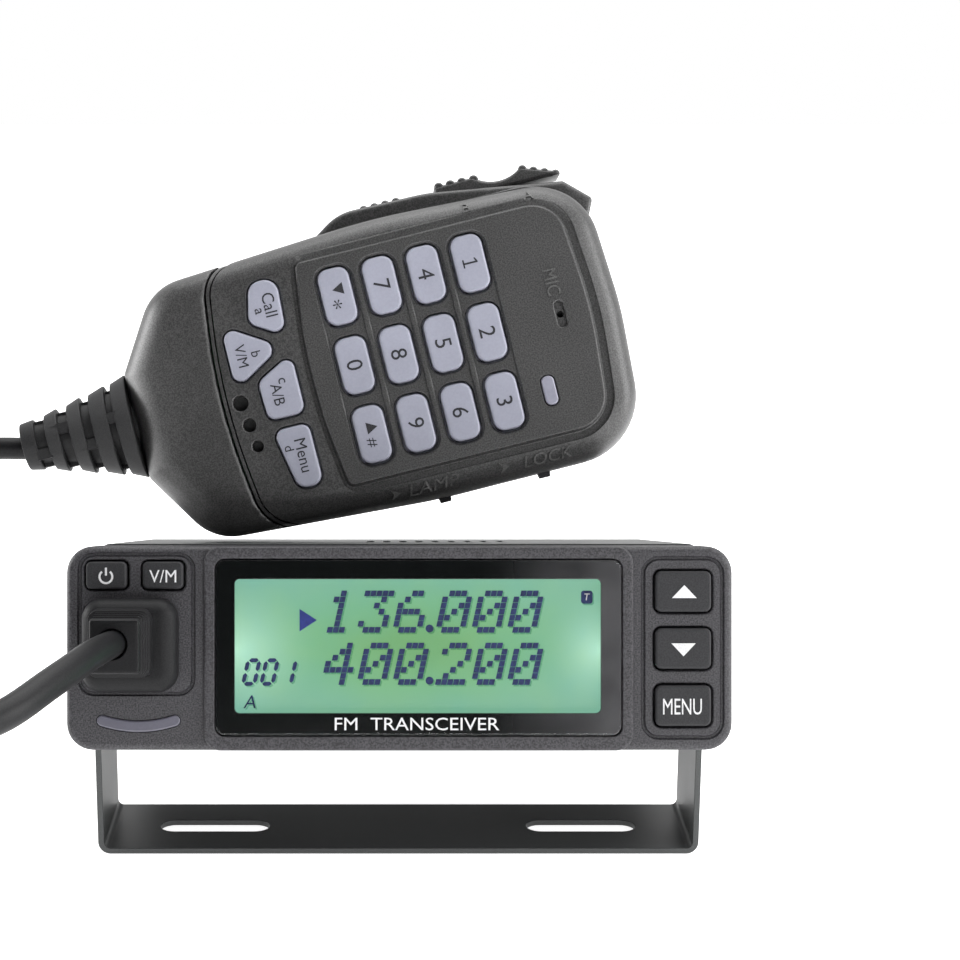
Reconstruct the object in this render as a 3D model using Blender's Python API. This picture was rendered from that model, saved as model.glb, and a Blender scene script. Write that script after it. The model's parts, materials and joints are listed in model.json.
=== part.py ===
"""Mobile FM transceiver that tilts in a U bracket, with its coiled cord and keypad hand microphone.

Lengths are millimetres and angles are degrees; the helpers turn them into Blender's metres and radians.
Three frames are used:
  bracket     the world: the origin is the centre of the bracket's underside, +Z up, the radio faces -Y
  radio       x across, y back from the front panel's face, z up from the panel's middle; it leans back
  microphone  x across, y back from the keypad's face, z along the microphone; its origin is at key 5
"""

from math import acos, cos, pi, radians, sin

import bmesh
import bpy
from mathutils import Vector

MM = 0.001
GAP = 0.3
OVER = 1.0

# Front panel and display
PANEL_W, PANEL_H, PANEL_R, PANEL_DEPTH = 124.0, 38.0, 5.0, 11.0
PANEL_SKIN, PANEL_WALL = 2.2, 2.0
PLATEAU_X, PLATEAU_W, PLATEAU_RISE = 3.55, 79.9, 0.8
WINDOW_W, WINDOW_H, WINDOW_R, WINDOW_T = 75.2, 32.5, 1.8, 1.2
GLASS_X, GLASS_Z, GLASS_W, GLASS_H = 3.4, 0.4, 68.0, 24.9
LIGHT_X, LIGHT_Z, LIGHT_BEND, LIGHT_SPREAD, LIGHT_T = -48.5, -14.5, 21.8, 18.0, 2.1
GROOVE_W, GROOVE_DEPTH = 0.9, 0.6

# Buttons: x, z, width, height and corner radius
BUTTONS = {
    "button_power": (-54.4, 13.6, 7.6, 5.1, 1.0),
    "button_memory": (-43.9, 13.6, 7.6, 5.1, 1.0),
    "button_up": (52.7, 10.6, 10.4, 7.6, 1.2),
    "button_down": (52.7, 0.0, 10.4, 7.6, 1.2),
    "button_menu": (52.7, -10.6, 10.4, 7.6, 1.2),
}
BUTTON_PROUD, BUTTON_RIM = 0.8, 1.2

# Body, cover and rear sockets
BODY_W, BODY_FRONT, BODY_BACK, BODY_TOP, BODY_BOTTOM = 111.4, 11.3, 92.0, 18.2, -17.5
WALL, FLOOR_T, COVER_T, REAR_T, FIN_DEPTH = 3.0, 2.2, 0.8, 10.0, 7.0
FINS, FIN_PITCH, FIN_GAP = 11, 4.0, 2.0
ANTENNA_X, DC_X, EAR_X, REAR_Z = 37.0, -38.0, -24.0, 3.0
BOARD_TOP, BOARD_T = -11.0, 1.6

# Bracket and tilt
SHEET, STRIP, BRACKET_IN, BEND = 1.2, 24.0, 116.0, 2.4
PIVOT_HEIGHT, PIVOT_Y, LEAN = 40.4, 27.0, 13.5
SLOT_X, SLOT_L, SLOT_W = 37.0, 22.0, 6.0
SCREW_R, BORE_R = 1.95, 2.3

# Plug and cord
PLUG_X, PLUG_Z = -50.8, 0.8
JACK_W, JACK_H, JACK_DEPTH = 15.0, 13.6, 8.6
CORD_R, COIL_R, COIL_PITCH = 2.3, 4.9, 5.4

# Microphone: where key 5 sits in the radio's frame, how far it is turned, and its shell
MIC_AT, MIC_TURN = (9.0, 30.0, 59.15), 76.0
MIC_MID, MIC_SPLIT, MIC_DEPTH, MIC_WALL, MIC_SKIN = 0.7, 13.5, 28.0, 2.0, 2.2
PITCH_X, PITCH_Z = 14.2, 9.1
KEY_W, KEY_H, KEY_R, KEY_PROUD = 11.4, 6.3, 2.2, 0.6
MAT_Y, MIC_BOARD_Y = 4.6, 6.4
SLIDE_Z = {"lock_switch": 13.8, "lamp_switch": -7.0}
SLIDE_TRAVEL = 2.4
RELIEF_TOP, RELIEF_TIP, RELIEF_X0, RELIEF_X1, RELIEF_Y = -64.6, -88.1, 0.4, -0.95, 13.65
SWING = (-1.0, 13.65, -89.3)
TALK_PIVOT = (-30.6, 20.7, 7.0)


# Helpers: outlines, solids and placing

def rounded(corners, inset=0.0, steps=2):
    """A closed outline from (x, z, radius) corners, each rounded by an arc, moved inwards by inset."""
    count = len(corners)
    area = sum(corners[i - 1][0] * corners[i][1] - corners[i][0] * corners[i - 1][1] for i in range(count))
    inwards = 1.0 if area > 0 else -1.0
    lines = []
    for i in range(count):
        a, b = Vector(corners[i][:2]), Vector(corners[(i + 1) % count][:2])
        along = (b - a).normalized()
        lines.append((a + Vector((-along.y, along.x)) * inwards * inset, along))
    points = []
    for i in range(count):
        (p, d), (q, e) = lines[i - 1], lines[i]
        cross = d.x * e.y - d.y * e.x
        corner = p + d * (((q - p).x * e.y - (q - p).y * e.x) / cross)
        if corners[i][2] == 0:
            points.append(tuple(corner))
            continue
        side = 1.0 if cross > 0 else -1.0
        radius = max(corners[i][2] - inset * side * inwards, 0.05)
        angle = acos(max(-1.0, min(1.0, d.dot(e))))
        reach = radius * sin(angle / 2) / cos(angle / 2)
        centre = corner - d * reach + Vector((-d.y, d.x)) * side * radius
        spoke = corner - d * reach - centre
        for k in range(steps + 1):
            a = side * angle * k / steps
            points.append((centre.x + spoke.x * cos(a) - spoke.y * sin(a),
                           centre.y + spoke.x * sin(a) + spoke.y * cos(a)))
    return points if inwards > 0 else points[::-1]


def box_corners(width, height, radius, x=0.0, z=0.0):
    w, h = width / 2, height / 2
    return [(x + w, z - h, radius), (x + w, z + h, radius), (x - w, z + h, radius), (x - w, z - h, radius)]


def even_sided(middle, half, top=None, bottom=None):
    """Corners of an outline that is the same on both sides of x = middle, from its right half, top first."""
    right = [(middle + x, z, radius) for x, z, radius in half]
    left = [(middle - x, z, radius) for x, z, radius in half[::-1]]
    ends = [[(middle, *end)] if end else [] for end in (top, bottom)]
    return ends[0] + right + ends[1] + left


def circle(radius, sides=16, x=0.0, z=0.0):
    return [(x + radius * cos(2 * pi * k / sides), z + radius * sin(2 * pi * k / sides)) for k in range(sides)]


def fill(bm, rings, closed=False):
    """Skins a row of rings of (x, y, z) points. Its ends are capped, or joined to each other if closed."""
    rows = [[bm.verts.new(Vector(p) * MM) for p in ring] for ring in rings]
    pairs = list(zip(rows, rows[1:])) + ([(rows[-1], rows[0])] if closed else [])
    for first, second in pairs:
        for k in range(len(first)):
            n = (k + 1) % len(first)
            bm.faces.new((first[k], first[n], second[n], second[k]))
    if not closed:
        bm.faces.new(rows[0][::-1])
        bm.faces.new(rows[-1])


def solid(name, stacks, finish, parent, at=(0, 0, 0), closed=False):
    """An object from one or more stacks of rings, which are drawn round the object's own origin at `at`."""
    bm = bmesh.new()
    for rings in stacks:
        fill(bm, rings, closed)
    bmesh.ops.recalc_face_normals(bm, faces=bm.faces)
    mesh = bpy.data.meshes.new(name)
    bm.to_mesh(mesh)
    bm.free()
    mesh.shade_smooth()
    mesh.set_sharp_from_angle(angle=radians(35))
    obj = bpy.data.objects.new(name, mesh)
    bpy.context.collection.objects.link(obj)
    obj.location = Vector(at) * MM
    obj.parent = parent
    if finish is not None:
        mesh.materials.append(finish)
    return obj


def combine(target, operation, name, stacks, closed=False):
    """Cuts stacks of rings from an object, joins them to it, or keeps what they share."""
    at = target.location / MM
    helper = solid(name, stacks, None, target.parent, at, closed)
    helper.hide_render = True
    helper.display_type = "WIRE"
    change = target.modifiers.new(name, "BOOLEAN")
    change.operation = operation
    change.object = helper


def layers(corners, depths, steps=2):
    """Rings of one outline at (y, inset) pairs."""
    return [[(x, y, z) for x, z in rounded(corners, inset, steps)] for y, inset in depths]


def prism(points, front, back):
    return [[(x, y, z) for x, z in points] for y in (front, back)]


def block(low, high):
    (x0, y0, z0), (x1, y1, z1) = low, high
    return [[(x0, y, z0), (x1, y, z0), (x1, y, z1), (x0, y, z1)] for y in (y0, y1)]


def turned(profile, axis="y", sides=16, centre=(0, 0, 0)):
    """Rings of a turned shape from (distance along the axis, radius) pairs."""
    rings = []
    for along, radius in profile:
        ring = []
        for u, v in circle(radius, sides):
            point = {"x": (along, u, v), "y": (u, along, v), "z": (u, v, along)}[axis]
            ring.append(tuple(c + o for c, o in zip(point, centre)))
        rings.append(ring)
    return rings


def swept(path, radii, sides=8):
    """Rings of a round cord along a path, each turned as little as possible from the one before."""
    path = [Vector(p) for p in path]
    rings, across = [], Vector((0, 0, 1))
    for i, here in enumerate(path):
        along = (path[min(i + 1, len(path) - 1)] - path[max(i - 1, 0)]).normalized()
        across = (across - along * across.dot(along)).normalized()
        other = along.cross(across)
        turns = [2 * pi * k / sides for k in range(sides)]
        rings.append([tuple(here + (across * cos(a) + other * sin(a)) * radii[i]) for a in turns])
    return rings


def curve_through(points, per_span):
    """A smooth path through points: a Catmull-Rom spline."""
    p = [Vector(q) for q in points]
    p = [p[0] * 2 - p[1]] + p + [p[-1] * 2 - p[-2]]
    path = []
    for a, b, c, d in zip(p, p[1:], p[2:], p[3:]):
        for k in range(per_span):
            t = k / per_span
            path.append(0.5 * (2 * b + (c - a) * t + (2 * a - 5 * b + 4 * c - d) * t ** 2
                               + (3 * b - a - 3 * c + d) * t ** 3))
    return path + [p[-2]]


def empty(name, parent=None, at=(0, 0, 0), turn=(0, 0, 0)):
    obj = bpy.data.objects.new(name, None)
    bpy.context.collection.objects.link(obj)
    obj.location = Vector(at) * MM
    obj.rotation_euler = [radians(a) for a in turn]
    obj.parent = parent
    return obj


def material(name, colour, roughness, metallic=0.0):
    made = bpy.data.materials.new(name)
    made.use_nodes = True
    shader = made.node_tree.nodes["Principled BSDF"]
    shader.inputs["Base Color"].default_value = (*colour, 1.0)
    shader.inputs["Roughness"].default_value = roughness
    shader.inputs["Metallic"].default_value = metallic
    return made


def make_materials():
    return {
        "panel": material("panel", (0.060, 0.058, 0.063), 0.55),
        "button": material("button", (0.025, 0.025, 0.027), 0.60),
        "window": material("window", (0.010, 0.010, 0.011), 0.08),
        "lcd": material("lcd", (0.230, 0.520, 0.270), 0.30),
        "lens": material("lens", (0.130, 0.125, 0.160), 0.35),
        "casting": material("casting", (0.050, 0.050, 0.052), 0.50, 0.6),
        "sheet": material("sheet", (0.070, 0.075, 0.075), 0.45, 0.4),
        "board": material("board", (0.020, 0.120, 0.050), 0.50),
        "metal": material("metal", (0.650, 0.640, 0.600), 0.30, 1.0),
        "rubber": material("rubber", (0.035, 0.035, 0.036), 0.70),
        "shell": material("shell", (0.060, 0.060, 0.058), 0.50),
        "keycap": material("keycap", (0.380, 0.390, 0.460), 0.45),
        "socket": material("socket", (0.020, 0.020, 0.020), 0.40),
    }


# Radio: the front panel and what sits in it

def smile(grow=0.0, steps=6):
    """The status light's outline round its own middle: a band bent along an arc, with round ends."""
    half, lift = LIGHT_T / 2 + grow, LIGHT_BEND

    def at(angle, radius):
        return Vector((radius * sin(angle), lift - radius * cos(angle)))

    def end(angle, way):
        tip = at(angle, LIGHT_BEND)
        out = at(angle, LIGHT_BEND + 1) - tip
        on = Vector((-out.y, out.x)) * way
        return [tuple(tip + (out * cos(t) + on * sin(t)) * half) for t in (pi / 4, pi / 2, 3 * pi / 4)]

    spread = [radians(LIGHT_SPREAD) * (2 * k / steps - 1) for k in range(steps + 1)]
    outer = [tuple(at(a, LIGHT_BEND + half)) for a in spread]
    inner = [tuple(at(a, LIGHT_BEND - half)) for a in spread[::-1]]
    return outer + end(spread[-1], 1) + inner + end(spread[0], -1)[::-1]


def front_panel(mat, radio):
    edge = [(0, 1.2), (0.35, 0.35), (1.2, 0), (PANEL_DEPTH, 0), (PANEL_DEPTH, PANEL_WALL), (PANEL_SKIN, PANEL_WALL)]
    panel = solid("front_panel", [layers(box_corners(PANEL_W, PANEL_H, PANEL_R), edge, 5)], mat["panel"], radio)
    rise = box_corners(PLATEAU_W, PANEL_H - 0.1, 2.8, PLATEAU_X, 0)
    steps = [(-PLATEAU_RISE, 0.35), (-PLATEAU_RISE + 0.35, 0), (1.6, 0)]
    combine(panel, "UNION", "plateau", [layers(rise, steps)])
    through = [(-OVER - PLATEAU_RISE, 0), (PANEL_SKIN + OVER, 0)]
    window = box_corners(WINDOW_W + 0.5, WINDOW_H + 0.5, WINDOW_R, PLATEAU_X, 0.2)
    holes = [
        layers(window, [(-OVER - PLATEAU_RISE, 0), (WINDOW_T - PLATEAU_RISE + GAP, 0)]),
        layers(box_corners(JACK_W + 0.6, JACK_H + 0.6, 0.6, PLUG_X, PLUG_Z), through),
        prism([(x + LIGHT_X, z + LIGHT_Z) for x, z in smile(0.2)], -OVER, PANEL_SKIN + OVER),
    ]
    for x, z, width, height, radius in BUTTONS.values():
        holes.append(layers(box_corners(width + 0.6, height + 0.6, radius + 0.3, x, z), through))
    combine(panel, "DIFFERENCE", "panel_holes", holes)
    combine(panel, "DIFFERENCE", "glass_hole",
            [layers(box_corners(GLASS_W + 2, GLASS_H + 2, 1.0, GLASS_X, GLASS_Z), through)])
    around = (box_corners(22.0, 26.8, 3.2, -48.9, 4.5), box_corners(15.6, 34.2, 3.4, 52.65, 0.1))
    section = [(-OVER, 0), (GROOVE_DEPTH, 0), (GROOVE_DEPTH, GROOVE_W), (-OVER, GROOVE_W)]
    combine(panel, "DIFFERENCE", "panel_grooves", [layers(c, section) for c in around], closed=True)


def display(mat, radio):
    window = layers(box_corners(WINDOW_W, WINDOW_H, WINDOW_R), [(0, 0.3), (0.3, 0), (WINDOW_T, 0)])
    solid("display_window", [window], mat["window"], radio, (PLATEAU_X, -PLATEAU_RISE, 0.2))
    glass = layers(box_corners(GLASS_W + 3, GLASS_H + 3, 0.5), [(0, 0), (2.8, 0)])
    solid("lcd_panel", [glass], mat["lcd"], radio, (GLASS_X, 2.6, GLASS_Z))
    guide = layers(box_corners(GLASS_W + 2, GLASS_H + 2, 0.5), [(0, 0), (2.8, 0)])
    solid("backlight", [guide], mat["lens"], radio, (GLASS_X, 5.8, GLASS_Z))
    solid("status_light_pipe", [prism(smile(), 0.0, 3.2)], mat["lens"], radio, (LIGHT_X, -0.1, LIGHT_Z))


def buttons(mat, radio):
    for name, (x, z, width, height, radius) in BUTTONS.items():
        cap = box_corners(width, height, radius)
        rim = box_corners(width + BUTTON_RIM, height + BUTTON_RIM, radius)
        rings = layers(cap, [(0, 0.5), (0.4, 0), (3.4, 0)]) + layers(rim, [(3.4, 0), (4.3, 0)])
        solid(name, [rings], mat["button"], radio, (x, -BUTTON_PROUD, z))


def front_board(mat, radio):
    """The board behind the panel, with a press switch behind each button and a notch for the jack."""
    board = solid("front_board", [block((-59, 9.0, -16), (59, 10.6, 16))], mat["board"], radio)
    half_w, half_h = JACK_W / 2 + GAP, JACK_H / 2 + GAP
    notch = block((PLUG_X - half_w, 8, PLUG_Z - half_h), (PLUG_X + half_w, 12, PLUG_Z + half_h))
    combine(board, "DIFFERENCE", "jack_notch", [notch])
    switches = [block((x - 2, 4.8, z - 2), (x + 2, 9.5, z + 2)) for x, z, *_ in BUTTONS.values()]
    combine(board, "UNION", "press_switches", switches)


def mic_jack(mat, radio):
    body = layers(box_corners(JACK_W, JACK_H, 0.4), [(0, 0), (JACK_DEPTH + 2, 0)])
    jack = solid("mic_jack", [body], mat["socket"], radio, (PLUG_X, 0.2, PLUG_Z))
    combine(jack, "DIFFERENCE", "jack_mouth", [block((-6.0, -OVER, -4.6), (6.0, JACK_DEPTH, 4.6))])


# Radio: the body, its cover and its electronics

def cover_screw_places():
    """Where the cover's four side screws go: name, side, y and z."""
    return [(f"cover_screw_{side_name}_{place}", side, y, 14.0)
            for side_name, side in (("left", -1), ("right", 1)) for place, y in (("front", 17.0), ("rear", 84.0))]


def chassis(mat, radio):
    half, deep = BODY_W / 2, BODY_BACK - REAR_T
    body = solid("chassis", [block((-half, BODY_FRONT, BODY_BOTTOM), (half, BODY_BACK, BODY_TOP))],
                 mat["casting"], radio)
    bosses = [turned([(side * (half - 1), 8.0), (side * (half + 2), 8.0)], "x", 20, (0, PIVOT_Y, 0))
              for side in (-1, 1)]
    combine(body, "UNION", "pivot_bosses", bosses)
    inside = block((-half + WALL, BODY_FRONT + 2.2, BODY_BOTTOM + FLOOR_T), (half - WALL, deep, BODY_TOP + OVER))
    combine(body, "DIFFERENCE", "inside", [inside])
    posts = [turned([(BODY_BOTTOM + 1, 2.6), (BOARD_TOP - BOARD_T - GAP, 2.6)], "z", 10, (x, y, 0))
             for x in (-46, 46) for y in (20, 75)]
    combine(body, "UNION", "board_posts", posts)
    cuts = [block((-32, BODY_FRONT - OVER, -8), (32, BODY_FRONT + 4, 8))]
    for k in range(FINS):
        x = (k - (FINS - 1) / 2) * FIN_PITCH + 2
        cuts.append(block((x - FIN_GAP / 2, BODY_BACK - FIN_DEPTH, BODY_BOTTOM - OVER),
                          (x + FIN_GAP / 2, BODY_BACK + OVER, BODY_TOP + OVER)))
    for side in (-1, 1):
        cuts.append(turned([(side * (half - WALL - OVER), BORE_R), (side * (half + 4), BORE_R)], "x", 16,
                           (0, PIVOT_Y, 0)))
    for _, side, y, z in cover_screw_places():
        cuts.append(turned([(side * (half - WALL - OVER), 1.5), (side * (half + 2), 1.5)], "x", 10, (0, y, z)))
    for x, z, radius in ((ANTENNA_X, 0, 5.0), (DC_X, REAR_Z, 3.0), (EAR_X, REAR_Z, 3.5)):
        cuts.append(turned([(deep - OVER, radius), (BODY_BACK + OVER, radius)], "y", 16, (x, 0, z)))
    combine(body, "DIFFERENCE", "body_cuts", cuts)


def top_cover(mat, radio):
    """A folded sheet lid with two side lips, and slots over the speaker."""
    inside = BODY_W / 2 + GAP
    outside, top, low = inside + COVER_T, BODY_TOP + GAP + COVER_T, 10.0
    corners = [(-outside, low, 0), (-inside, low, 0), (-inside, top - COVER_T, 0.6), (inside, top - COVER_T, 0.6),
               (inside, low, 0), (outside, low, 0), (outside, top, 1.4), (-outside, top, 1.4)]
    lid = solid("top_cover", [prism(rounded(corners), BODY_FRONT, BODY_BACK)], mat["sheet"], radio)
    cuts = [block((8 + 3.4 * k - 0.8, 36, top - 2), (8 + 3.4 * k + 0.8, 60, top + OVER)) for k in range(-4, 5)]
    for _, side, y, z in cover_screw_places():
        cuts.append(turned([(side * (inside - OVER), 1.5), (side * (outside + OVER), 1.5)], "x", 10, (0, y, z)))
    combine(lid, "DIFFERENCE", "cover_cuts", cuts)


def cover_screws(mat, radio):
    outside = BODY_W / 2 + GAP + COVER_T
    for name, side, y, z in cover_screw_places():
        profile = [(-5.0, 1.15), (0.3, 1.15), (0.3, 2.4), (0.6, 2.3), (0.9, 1.4)]
        rings = turned([(side * along, radius) for along, radius in profile], "x", 10)
        solid(name, [rings], mat["metal"], radio, (side * outside, y, z))


def electronics(mat, radio):
    board = block((-51, 15, BOARD_TOP - BOARD_T), (51, 80, BOARD_TOP))
    solid("main_board", [board], mat["board"], radio)
    solid("rf_shield", [layers(box_corners(44, 6.5, 0.5), [(0, 0), (34, 0)])], mat["metal"], radio, (22, 20, -7.4))
    solid("power_module", [block((-13, -5, -5), (13, 5, 5))], mat["socket"], radio, (0, 76.5, -5.0))
    profile = [(-9.0, 9.0), (-3.6, 9.0), (-3.6, 11.0), (-0.8, 18.0), (0.0, 18.0)]
    solid("speaker", [turned(profile, "z", 16)], mat["metal"], radio, (8, 48, BODY_TOP - 0.1))


def rear_sockets(mat, radio):
    flange = layers(box_corners(18, 18, 1.0), [(0, 0), (2.2, 0)])
    socket = solid("antenna_socket", [flange], mat["metal"], radio, (ANTENNA_X, BODY_BACK + GAP, 0))
    barrel = [turned([(-9, 4.6), (1, 4.6)], "y", 20), turned([(0.8, 7.9), (15.0, 7.9)], "y", 20)]
    combine(socket, "UNION", "socket_barrel", barrel)
    combine(socket, "DIFFERENCE", "socket_bore", [turned([(5.0, 6.2), (16.0, 6.2)], "y", 20)])
    profile = [(-9, 3.1), (0.3, 3.1), (0.3, 4.2), (2.4, 4.2)]
    ear = solid("speaker_jack", [turned(profile)], mat["socket"], radio, (EAR_X, BODY_BACK, REAR_Z))
    combine(ear, "DIFFERENCE", "ear_bore", [turned([(-8, 1.8), (3.4, 1.8)], "y", 12)])


def dc_lead(mat, radio):
    """The power lead leaves the rear wall, turns along it and ends in a two-way plug."""
    path = curve_through([(0, -8, 0), (0, 3, 0), (1.5, 9, -0.5), (8, 14.5, -3), (18, 16, -6), (27, 16, -7)], 4)
    solid("dc_lead", [swept(path, [2.5] * len(path))], mat["rubber"], radio, (DC_X, BODY_BACK, REAR_Z))
    plug = [[(x, y, z) for y, z in rounded(box_corners(9.0, 7.4, 1.2))] for x in (0.0, 17.0)]
    solid("dc_plug", [plug], mat["socket"], radio, (DC_X + 27.4, BODY_BACK + 16, REAR_Z - 7))


# Bracket and thumb screws

def bracket(mat):
    """A flat strip bent into a U, its ears rounded over the pivot, with two slots in its base."""
    out, deep = BRACKET_IN / 2 + SHEET, STRIP / 2
    inn, top = out - SHEET, PIVOT_HEIGHT + STRIP / 2
    corners = [(-out, top, 0), (-out, 0, BEND), (out, 0, BEND), (out, top, 0),
               (inn, top, 0), (inn, SHEET, BEND - SHEET), (-inn, SHEET, BEND - SHEET), (-inn, top, 0)]
    strip = solid("mounting_bracket", [prism(rounded(corners, 0, 4), -deep, deep)], mat["sheet"], None)
    wide = deep + 0.05
    ear = [(wide * cos(pi * k / 12), PIVOT_HEIGHT + wide * sin(pi * k / 12)) for k in range(13)]
    keep = ear + [(-wide, -OVER), (wide, -OVER)]
    combine(strip, "INTERSECT", "ear_shape", [[[(x, y, z) for y, z in keep] for x in (-out - 2, out + 2)]])
    holes = [turned([(-out - OVER, BORE_R), (out + OVER, BORE_R)], "x", 16, (0, 0, PIVOT_HEIGHT))]
    for side in (-1, 1):
        slot = rounded(box_corners(SLOT_L, SLOT_W, SLOT_W / 2 - 0.01, side * SLOT_X), 0, 5)
        holes.append([[(x, y, z) for x, y in slot] for z in (-OVER, SHEET + OVER)])
    combine(strip, "DIFFERENCE", "bracket_holes", holes)


def thumb_screws(mat, radio):
    out = BRACKET_IN / 2 + SHEET
    for name, side in (("thumb_screw_left", -1), ("thumb_screw_right", 1)):
        profile = [(-9.2, SCREW_R), (GAP, SCREW_R), (GAP, 4.6), (1.0, 4.6), (1.0, 6.3), (1.3, 6.6), (4.6, 6.6),
                   (4.9, 6.3)]
        rings = turned([(side * along, radius) for along, radius in profile], "x", 14)
        solid(name, [rings], mat["metal"], radio, (side * out, PIVOT_Y, 0))


# Cord and plug

def mic_point(x, y, z):
    """A point given in the microphone's frame, in the radio's frame."""
    a = radians(MIC_TURN)
    return (MIC_AT[0] + x * cos(a) + z * sin(a), MIC_AT[1] + y, MIC_AT[2] - x * sin(a) + z * cos(a))


def cord_paths():
    """The cord's plain start, the line its coil winds round, and its plain end at the microphone."""
    tip = mic_point(*SWING)
    near = [(PLUG_X, -9.5, PLUG_Z), (PLUG_X - 0.1, -17.0, PLUG_Z), (-53.0, -27.0, -0.6), (-57.7, -40.0, -4.0),
            (-64.5, -52.0, -8.0), (-74.0, -58.5, -10.8), (-84.5, -56.5, -12.3)]
    coil = [(-93.5, -47.0, -12.6), (-99.5, -31.0, -11.8), (-102.5, -12.0, -9.0), (-103.5, 7.0, -2.5),
            (-102.5, 23.0, 8.5), (-99.5, 34.5, 22.5)]
    far = [(-95.0, 41.5, 33.0), (-88.5, tip[1], 38.0), (tip[0] - 4.5, tip[1], tip[2]), tip]
    spans = 5
    spine = curve_through(near + coil + far, spans)
    first, last = spans * len(near), spans * (len(near) + len(coil) - 1)
    return spine[:first], spine[first:last + 1], spine[last + 1:]


def coiled(spine, per_turn=7, ease=0.1):
    """A helix wound round a spine. Its radius grows from nothing and shrinks again at the two ends."""
    lengths = [0.0]
    for a, b in zip(spine, spine[1:]):
        lengths.append(lengths[-1] + (b - a).length)
    total = lengths[-1]
    turns = round(total / COIL_PITCH)
    count = turns * per_turn
    across, i = Vector((0, 0, 1)), 0
    points = []
    for k in range(count + 1):
        s = total * k / count
        while i < len(spine) - 2 and lengths[i + 1] < s:
            i += 1
        here = spine[i].lerp(spine[i + 1], (s - lengths[i]) / (lengths[i + 1] - lengths[i]))
        along = (spine[i + 1] - spine[i]).normalized()
        across = (across - along * across.dot(along)).normalized()
        other = along.cross(across)
        share = min(1.0, s / (total * ease), (total - s) / (total * ease))
        radius = COIL_R * share * share * (3 - 2 * share)
        a = 2 * pi * turns * k / count
        points.append(here + (across * cos(a) + other * sin(a)) * radius)
    return points


def cord(mat, radio):
    near, coil, far = cord_paths()
    path = near + coiled(coil) + far
    along = (path[-1] - path[-2]).normalized()
    radii = [CORD_R] * len(path)
    for reach, radius in ((0.5, 0.87), (0.8, 0.6)):
        path.append(far[-1] + along * CORD_R * reach)
        radii.append(CORD_R * radius)
    solid("mic_cord", [swept(path, radii, 5)], mat["rubber"], radio)


def plug_and_boot(mat, radio):
    at = (PLUG_X, 0, PLUG_Z)
    plug = solid("mic_plug", [block((-5.8, -4.0, -3.9), (5.8, 8.2, 3.9))], mat["socket"], radio, at)
    combine(plug, "UNION", "plug_latch", [block((-2.6, 1.0, 3.5), (2.6, 6.0, 4.2))])
    base = layers(box_corners(16.6, 17.2, 3.2), [(-0.6, 0), (-3.4, 0.2), (-4.9, 1.0), (-5.6, 2.2)], 4)
    neck = layers(box_corners(11.6, 12.0, 1.8), [(-5.0, 0), (-9.0, 0.1), (-10.0, 0.8)])
    nose = layers(box_corners(9.8, 10.4, 1.4), [(-9.5, 0), (-15.2, 0.3), (-16.2, 1.1)])
    boot = solid("plug_boot", [base], mat["rubber"], radio, at)
    combine(boot, "UNION", "boot_neck", [neck])
    combine(boot, "UNION", "boot_nose", [nose])
    combine(boot, "DIFFERENCE", "plug_room", [block((-6.2, -4.5, -4.6), (6.2, OVER, 4.6))])
    combine(boot, "DIFFERENCE", "cord_bore", [turned([(-18, CORD_R + 0.4), (-8.5, CORD_R + 0.4)], "y", 12)])


# Microphone

BODY = even_sided(MIC_MID, [(29.2, 35.6, 14), (29.4, -8, 150), (27.0, -53.0, 7), (10.9, -64.3, 0.8)], (37.3, 70))
KEYPAD = even_sided(0.35, [(23.0, 28.6, 7), (23.0, -25.0, 1.5)], (30.6, 90), (-28.2, 120))
SEAM = [(-24.6, -43.2, 9), (MIC_MID, -46.4, 120), (26.0, -43.2, 9), (31.0, -33.0, 3), (42, -33.0, 1), (42, 50, 1),
        (-42, 50, 1), (-42, -33.0, 1), (-29.6, -33.0, 3)]
DIGITS = ("1", "2", "3", "4", "5", "6", "7", "8", "9", "star", "0", "hash")
SOFT_KEYS = {
    "mic_key_call": [(-21.0, -29.3, 2.4), (-9.0, -30.0, 1.6), (-13.2, -36.8, 2.2), (-20.9, -35.0, 2.6)],
    "mic_key_memory": [(-7.3, -31.7, 2.0), (-14.0, -42.4, 1.8), (-0.9, -42.4, 1.8)],
    "mic_key_band": [(-5.4, -30.0, 1.7), (6.7, -30.0, 2.0), (6.7, -37.5, 1.8), (-1.3, -37.8, 2.2)],
    "mic_key_menu": [(8.9, -30.0, 1.8), (21.5, -29.9, 2.3), (21.2, -34.9, 2.1), (8.9, -37.3, 1.8)],
}
SOUND_HOLES = ((1.9, -42.2, 1.5), (6.6, -41.5, 1.3), (11.1, -40.9, 1.1))
LAMP = (14.3, 18.4, 5.9, 2.6, 1.2)
MOUTH = (0, 24.2)


def digit_places():
    return {"mic_key_" + name: (PITCH_X * (i % 3 - 1), PITCH_Z * (1 - i // 3)) for i, name in enumerate(DIGITS)}


def front_half():
    """The microphone's front half: a hollow form with a deeply rounded edge."""
    outer = [(0, 6.0), (0.5, 3.9), (1.7, 2.1), (3.6, 0.9), (6.5, 0.2), (MIC_SPLIT, 0)]
    inner = [(MIC_SPLIT, MIC_WALL), (6.5, MIC_WALL + 0.2), (MIC_SKIN + 1.2, 3.6), (MIC_SKIN, 5.6)]
    return layers(BODY, outer + inner)


def relief_bore(radius):
    """The hole in both halves that the strain relief's neck passes through."""
    return turned([(-70, radius), (-58, radius)], "z", 16, (RELIEF_X0, RELIEF_Y, 0))


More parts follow.
